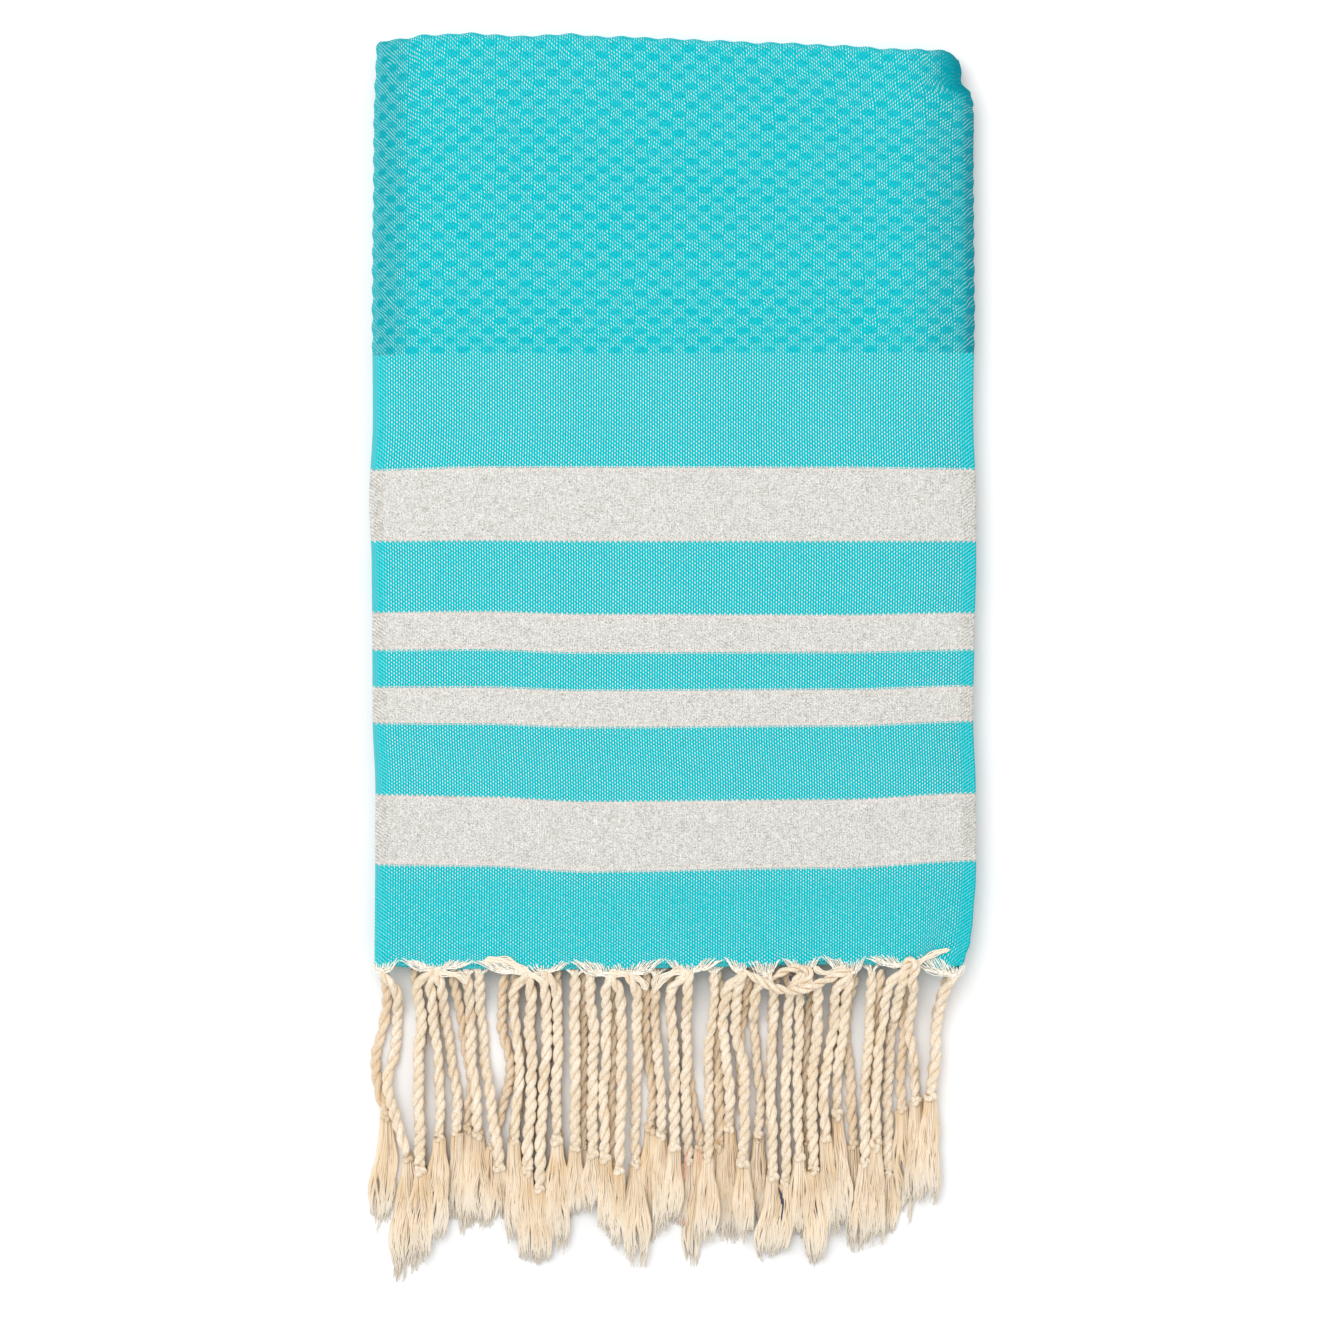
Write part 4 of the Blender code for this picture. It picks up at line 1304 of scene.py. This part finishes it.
def wing_paths(luck):
    """The cream bundles along the hem, from the outer threads of a fan to its gather."""
    paths = []
    for gather in GATHERS:
        spans = [side - gather.x for side in (gather.left, gather.right)]
        for span in [span for span in spans if abs(span) >= SHORTEST_WING]:
            for _ in range(WING_STRANDS):
                start = gather.x + span * luck.uniform(0.55, 0.85)
                middle = between(start, gather.x, 0.5)
                loose = luck.uniform(-0.4, 0.7) * MM
                start_y = HEM_Y + bow_at(start, HEM_Y) + front_hem_rise(start) - 0.6 * MM + loose
                middle_y = between(start_y, gather.y, 0.6) - 0.4 * MM + loose
                end_y = gather.y - 1.2 * MM + loose
                top = cloth_top(middle, HEM_Y)
                corners = (
                    (start, start_y, top - 0.3 * MM),
                    (middle, middle_y, top - 0.2 * MM),
                    (between(middle, gather.x, 0.7), between(middle_y, end_y, 0.8), top + 0.1 * MM),
                    (gather.x + 0.04 * span, end_y - 1.5 * MM, top - 0.3 * MM),
                )
                radius = luck.uniform(0.50, 0.75) * MM
                path = []
                for i, place in enumerate(smooth_line(corners, LASH_STEPS)):
                    path.append(Spot(place, between(0.3, 1.0, i / LASH_STEPS) * radius, -GROOVE_TILT))
                paths.append(path)
    return paths


def lower_lash_paths(lays, luck):
    """The warp threads of the layers below, drawn into the cords that start under the hem."""
    paths = []
    for lay in [lay for lay in lays if not lay.gather]:
        root_x = lay.cord.levels[0]
        for _ in range(LOWER_LASHES):
            away = luck.uniform(-6.5, 6.5) * MM
            x = root_x + away
            hem = HEM_Y + bow_at(x, HEM_Y)
            level = lay.root_z + luck.uniform(-0.3, 0.5) * MM
            corners = (
                (x, hem + 1.5 * MM, level + 0.3 * MM),
                (x - 0.1 * away, hem - 0.8 * MM, level + 0.6 * MM),
                (root_x + 0.35 * away, hem - 3.4 * MM, level + 0.9 * MM),
                (root_x + 0.12 * away, hem - 7.0 * MM, level - 0.2 * MM),
            )
            paths.append(thread(corners, luck.uniform(0.26, 0.36) * MM))
    return paths


def stray_path(stray):
    """A coloured thread that thins towards both its ends."""
    path = []
    for i, place in enumerate(smooth_line(metres(stray.route), STRAY_STEPS)):
        thick = ramp(min(i, STRAY_STEPS - i), 0, STRAY_END_STEPS) * 0.7 + 0.3
        path.append(Spot(place, thick * stray.radius * MM))
    return path


def twisted_finish(name, warm_shade):
    """Cream cotton ply: fibres along the cord, and painted warm tan shade where the plies meet and low down
    by the floor.
    """
    finish = Finish(name)
    around = finish.laid("UVMap")[1]
    x, y, z = finish.place()
    groove_shade = ((around - 0.5).size() * -1 + 0.5).ramp(0.25, 0.10)
    strand = finish.cloud(x * 1500, y * 110, z * 1500)
    fuzz = finish.cloud(x * 3200, y * 1100, z * 3200)
    wool = finish.cloud(x * 1050, y * 620, z * 1050, detail=1.0)
    golden = finish.cloud(x * 60, y * 34, 5, detail=1.0)
    cream = finish.blend(
        CREAM,
        (finish.cloud(x * 110, y * 55, z * 110).ramp(0.35, 0.65), CREAM_LIGHT),
        (wool.ramp(0.52, 0.72) * 0.7, FIBRE_WHITE),
        (wool.ramp(0.46, 0.28) * 0.35, CREAM_TAN),
        (strand.ramp(0.50, 0.34) * 0.55, CREAM_TAN),
        (fuzz.ramp(0.48, 0.32) * 0.40, CREAM_TAN),
        # painted warm shade where the plies meet
        (groove_shade * 0.80, PLY_SHADE_TAN),
        (golden.ramp(0.50, 0.66) * 0.10, GOLDEN_TAN),
        # painted warm shade low down by the floor, and over the whole of a shaded copy
        (z.ramp(3.0 * MM, 0.8 * MM) * 0.35 + warm_shade, PLY_SHADE_TAN),
    )
    finish.raised(strand * 0.7 + fuzz * 0.5 + wool * 0.8, 0.60 * MM)
    return finish.surface(cream, 0.95, 0.15, 0.6, 0.2)


def yarn_finish(name, warm_shade):
    """Loose cream yarns: painted golden shade where they lie low and towards the knot, greyer towards their
    thin ends.
    """
    finish = Finish(name)
    along = finish.laid("UVMap")[0]
    x, y, z = finish.place()
    streak = finish.cloud(x * 1100, y * 60, z * 500)
    # painted golden shade where the yarns lie low, fading towards their ends
    deep = z.ramp(3.0 * MM, 0.6 * MM) * along.ramp(0.95, 0.45)
    # patches of painted golden shade towards the knot
    knot_shade_patch = finish.cloud(x * 75, y * 30, 5, detail=1.0).ramp(0.48, 0.62)
    knot_shade_patch = knot_shade_patch * along.ramp(0.65, 0.10) * streak.ramp(0.40, 0.58)
    cream = finish.blend(
        CREAM,
        (finish.cloud(x * 90, y * 40, 2, detail=1.0).ramp(0.35, 0.65), CREAM_LIGHT),
        (streak.ramp(0.50, 0.34) * 0.4, CREAM_TAN),
        # painted golden shade low down, and over the whole of a shaded copy
        (deep * 0.45 + warm_shade, GOLDEN_TAN),
        (knot_shade_patch * 0.6, GOLDEN_TAN),
        (along.ramp(0.55, 1.0) * 0.6, TIP_GREY),
    )
    return finish.surface(cream, 0.9, 0.15, 0.5, 0.2)


def thread_finish(name, shade, light):
    """Single threads, darker and lighter in short streaks."""
    finish = Finish(name)
    x, y, z = finish.place()
    streak = finish.cloud(x * 1200, y * 900, z * 900)
    streaked = finish.blend(shade, (streak.ramp(0.38, 0.60), light))
    return finish.surface(streaked, 0.85, 0.2, 0.5, 0.25)


def studio():
    """A plain pale floor, soft light from above, and the photograph's camera."""
    body = bmesh.new()
    bmesh.ops.create_grid(body, x_segments=1, y_segments=1, size=FLOOR_HALF)
    floor = placed("floor", mesh_of("floor", body, Finish("studio_floor").surface(FLOOR_WHITE, 1.0)))

    world = bpy.data.worlds.new("studio")
    world.use_nodes = True
    sky = world.node_tree.nodes["Background"]
    sky.inputs["Color"].default_value = (1.0, 1.0, 1.0, 1.0)
    sky.inputs["Strength"].default_value = 1.0
    bpy.context.scene.world = world

    softbox = bpy.data.lights.new("softbox", "AREA")
    softbox.shape = "RECTANGLE"
    softbox.size = SOFTBOX_SIZE
    softbox.size_y = SOFTBOX_SIZE
    softbox.energy = SOFTBOX_POWER
    lamp = placed("softbox", softbox)
    lamp.location = SOFTBOX_PLACE
    lamp.rotation_euler = (-SOFTBOX_PLACE).to_track_quat("-Z", "Y").to_euler()

    lens = bpy.data.cameras.new("camera")
    lens.lens = LENS_MM
    lens.sensor_width = SENSOR_MM
    lens.clip_start = 0.05
    lens.clip_end = 20.0
    camera = placed("camera", lens)
    camera.location = (FRAME_MIDDLE_X, 0.0, STACK_TOP + FRAME_WIDTH * LENS_MM / SENSOR_MM)
    bpy.context.scene.camera = camera
    bpy.context.scene.view_settings.view_transform = "Standard"


def fringe(name, lays, node, slot_name, plies, yarns, deep_yarns, yarn_count):
    """The cords, knots and tassels of one end of the cloth."""
    cords = Strands(name + "_cords", 8)
    knots = Strands(name + "_knots", 8)
    left_tassels = Strands(name + "_tassels_left", 4)
    right_tassels = Strands(name + "_tassels_right", 4)
    cores = Strands(name + "_tassel_cores", 4)
    for lay in lays:
        cords.add(ply_path(lay, 0), ply_path(lay, 1))
        knots.add(knot_path(lay))
        paths = tassel_paths(lay, yarn_count)
        cores.add(*paths[:TASSEL_CORE])
        tassels = left_tassels if lay.cord.knot_x < TASSELS_PART_X else right_tassels
        tassels.add(*paths[TASSEL_CORE:])
    finishes = (plies, plies, yarns, yarns, deep_yarns)
    strands = (cords, knots, left_tassels, right_tassels, cores)
    return [one.piece(finish, node, slot_name) for one, finish in zip(strands, finishes)]


def hem_pieces(plies, lays):
    """The white threads and the loose ropes where the front hem becomes the fringe."""
    luck = random.Random(7)
    lashes = Strands("hem_threads", 4)
    lashes.add(*lash_paths(luck), *lower_lash_paths(lays, luck))
    locks = Strands("hem_locks", 6)
    locks.add(*wing_paths(luck))
    ropes = Strands("hem_ropes", 8)
    for rope in ROPES:
        (ropes if rope.strands == 2 else locks).add(*rope_paths(rope))
    white = thread_finish("white_warp", THREAD_SHADE, HEM_WHITE)
    pale = thread_finish("pale_warp", THREAD_SHADE, CREAM_LIGHT)
    pairs = ((lashes, white), (locks, pale), (ropes, plies))
    return [strands.piece(finish, "fringe_front", "cream_cotton") for strands, finish in pairs]


def stray_pieces():
    """The few coloured threads that were caught in the fringe."""
    made = []
    for shade, (dark, light) in STRAY_SHADES.items():
        threads = Strands(shade + "_stray_threads", 4)
        threads.add(*(stray_path(stray) for stray in STRAYS if stray.shade == shade))
        cotton = thread_finish(shade + "_cotton", dark, light)
        made.append(threads.piece(cotton, "fringe_front", "cream_cotton"))
    return made


def build():
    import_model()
    studio()

    flat_length = quarters()[-1].distance
    cloth, flat = towel_cloth(woven_finish(flat_length))

    back_cords = BACK_CORDS + hidden_cords()
    lower = [cord_sections(cord) for cord in back_cords]
    # the last argument is a share of painted warm shade laid over the whole finish
    plies = twisted_finish("cream_cotton_ply", 0.0)
    yarns = yarn_finish("cream_cotton_yarn", 0.12)
    # shaded copies with painted warm shade, for the back cords under the front ones and for the tassel
    # cores under the fine yarns
    shaded_plies = twisted_finish("shaded_tan_cotton_ply", 0.26)
    shaded_yarns = yarn_finish("shaded_tan_cotton_yarn", 0.22)
    shaded_core_yarns = yarn_finish("shaded_golden_cotton_yarn", 0.26)
    upper = front_lays(lower)
    front = fringe("front", upper, "fringe_front", "cream_cotton", plies, yarns, shaded_core_yarns, FRONT_YARNS)
    under = back_lays(back_cords)
    back = fringe("back", under, "fringe_back", "cream_cotton_back", shaded_plies, shaded_yarns, shaded_core_yarns, BACK_YARNS)
    hem = (*hem_pieces(plies, upper), *stray_pieces())


build()
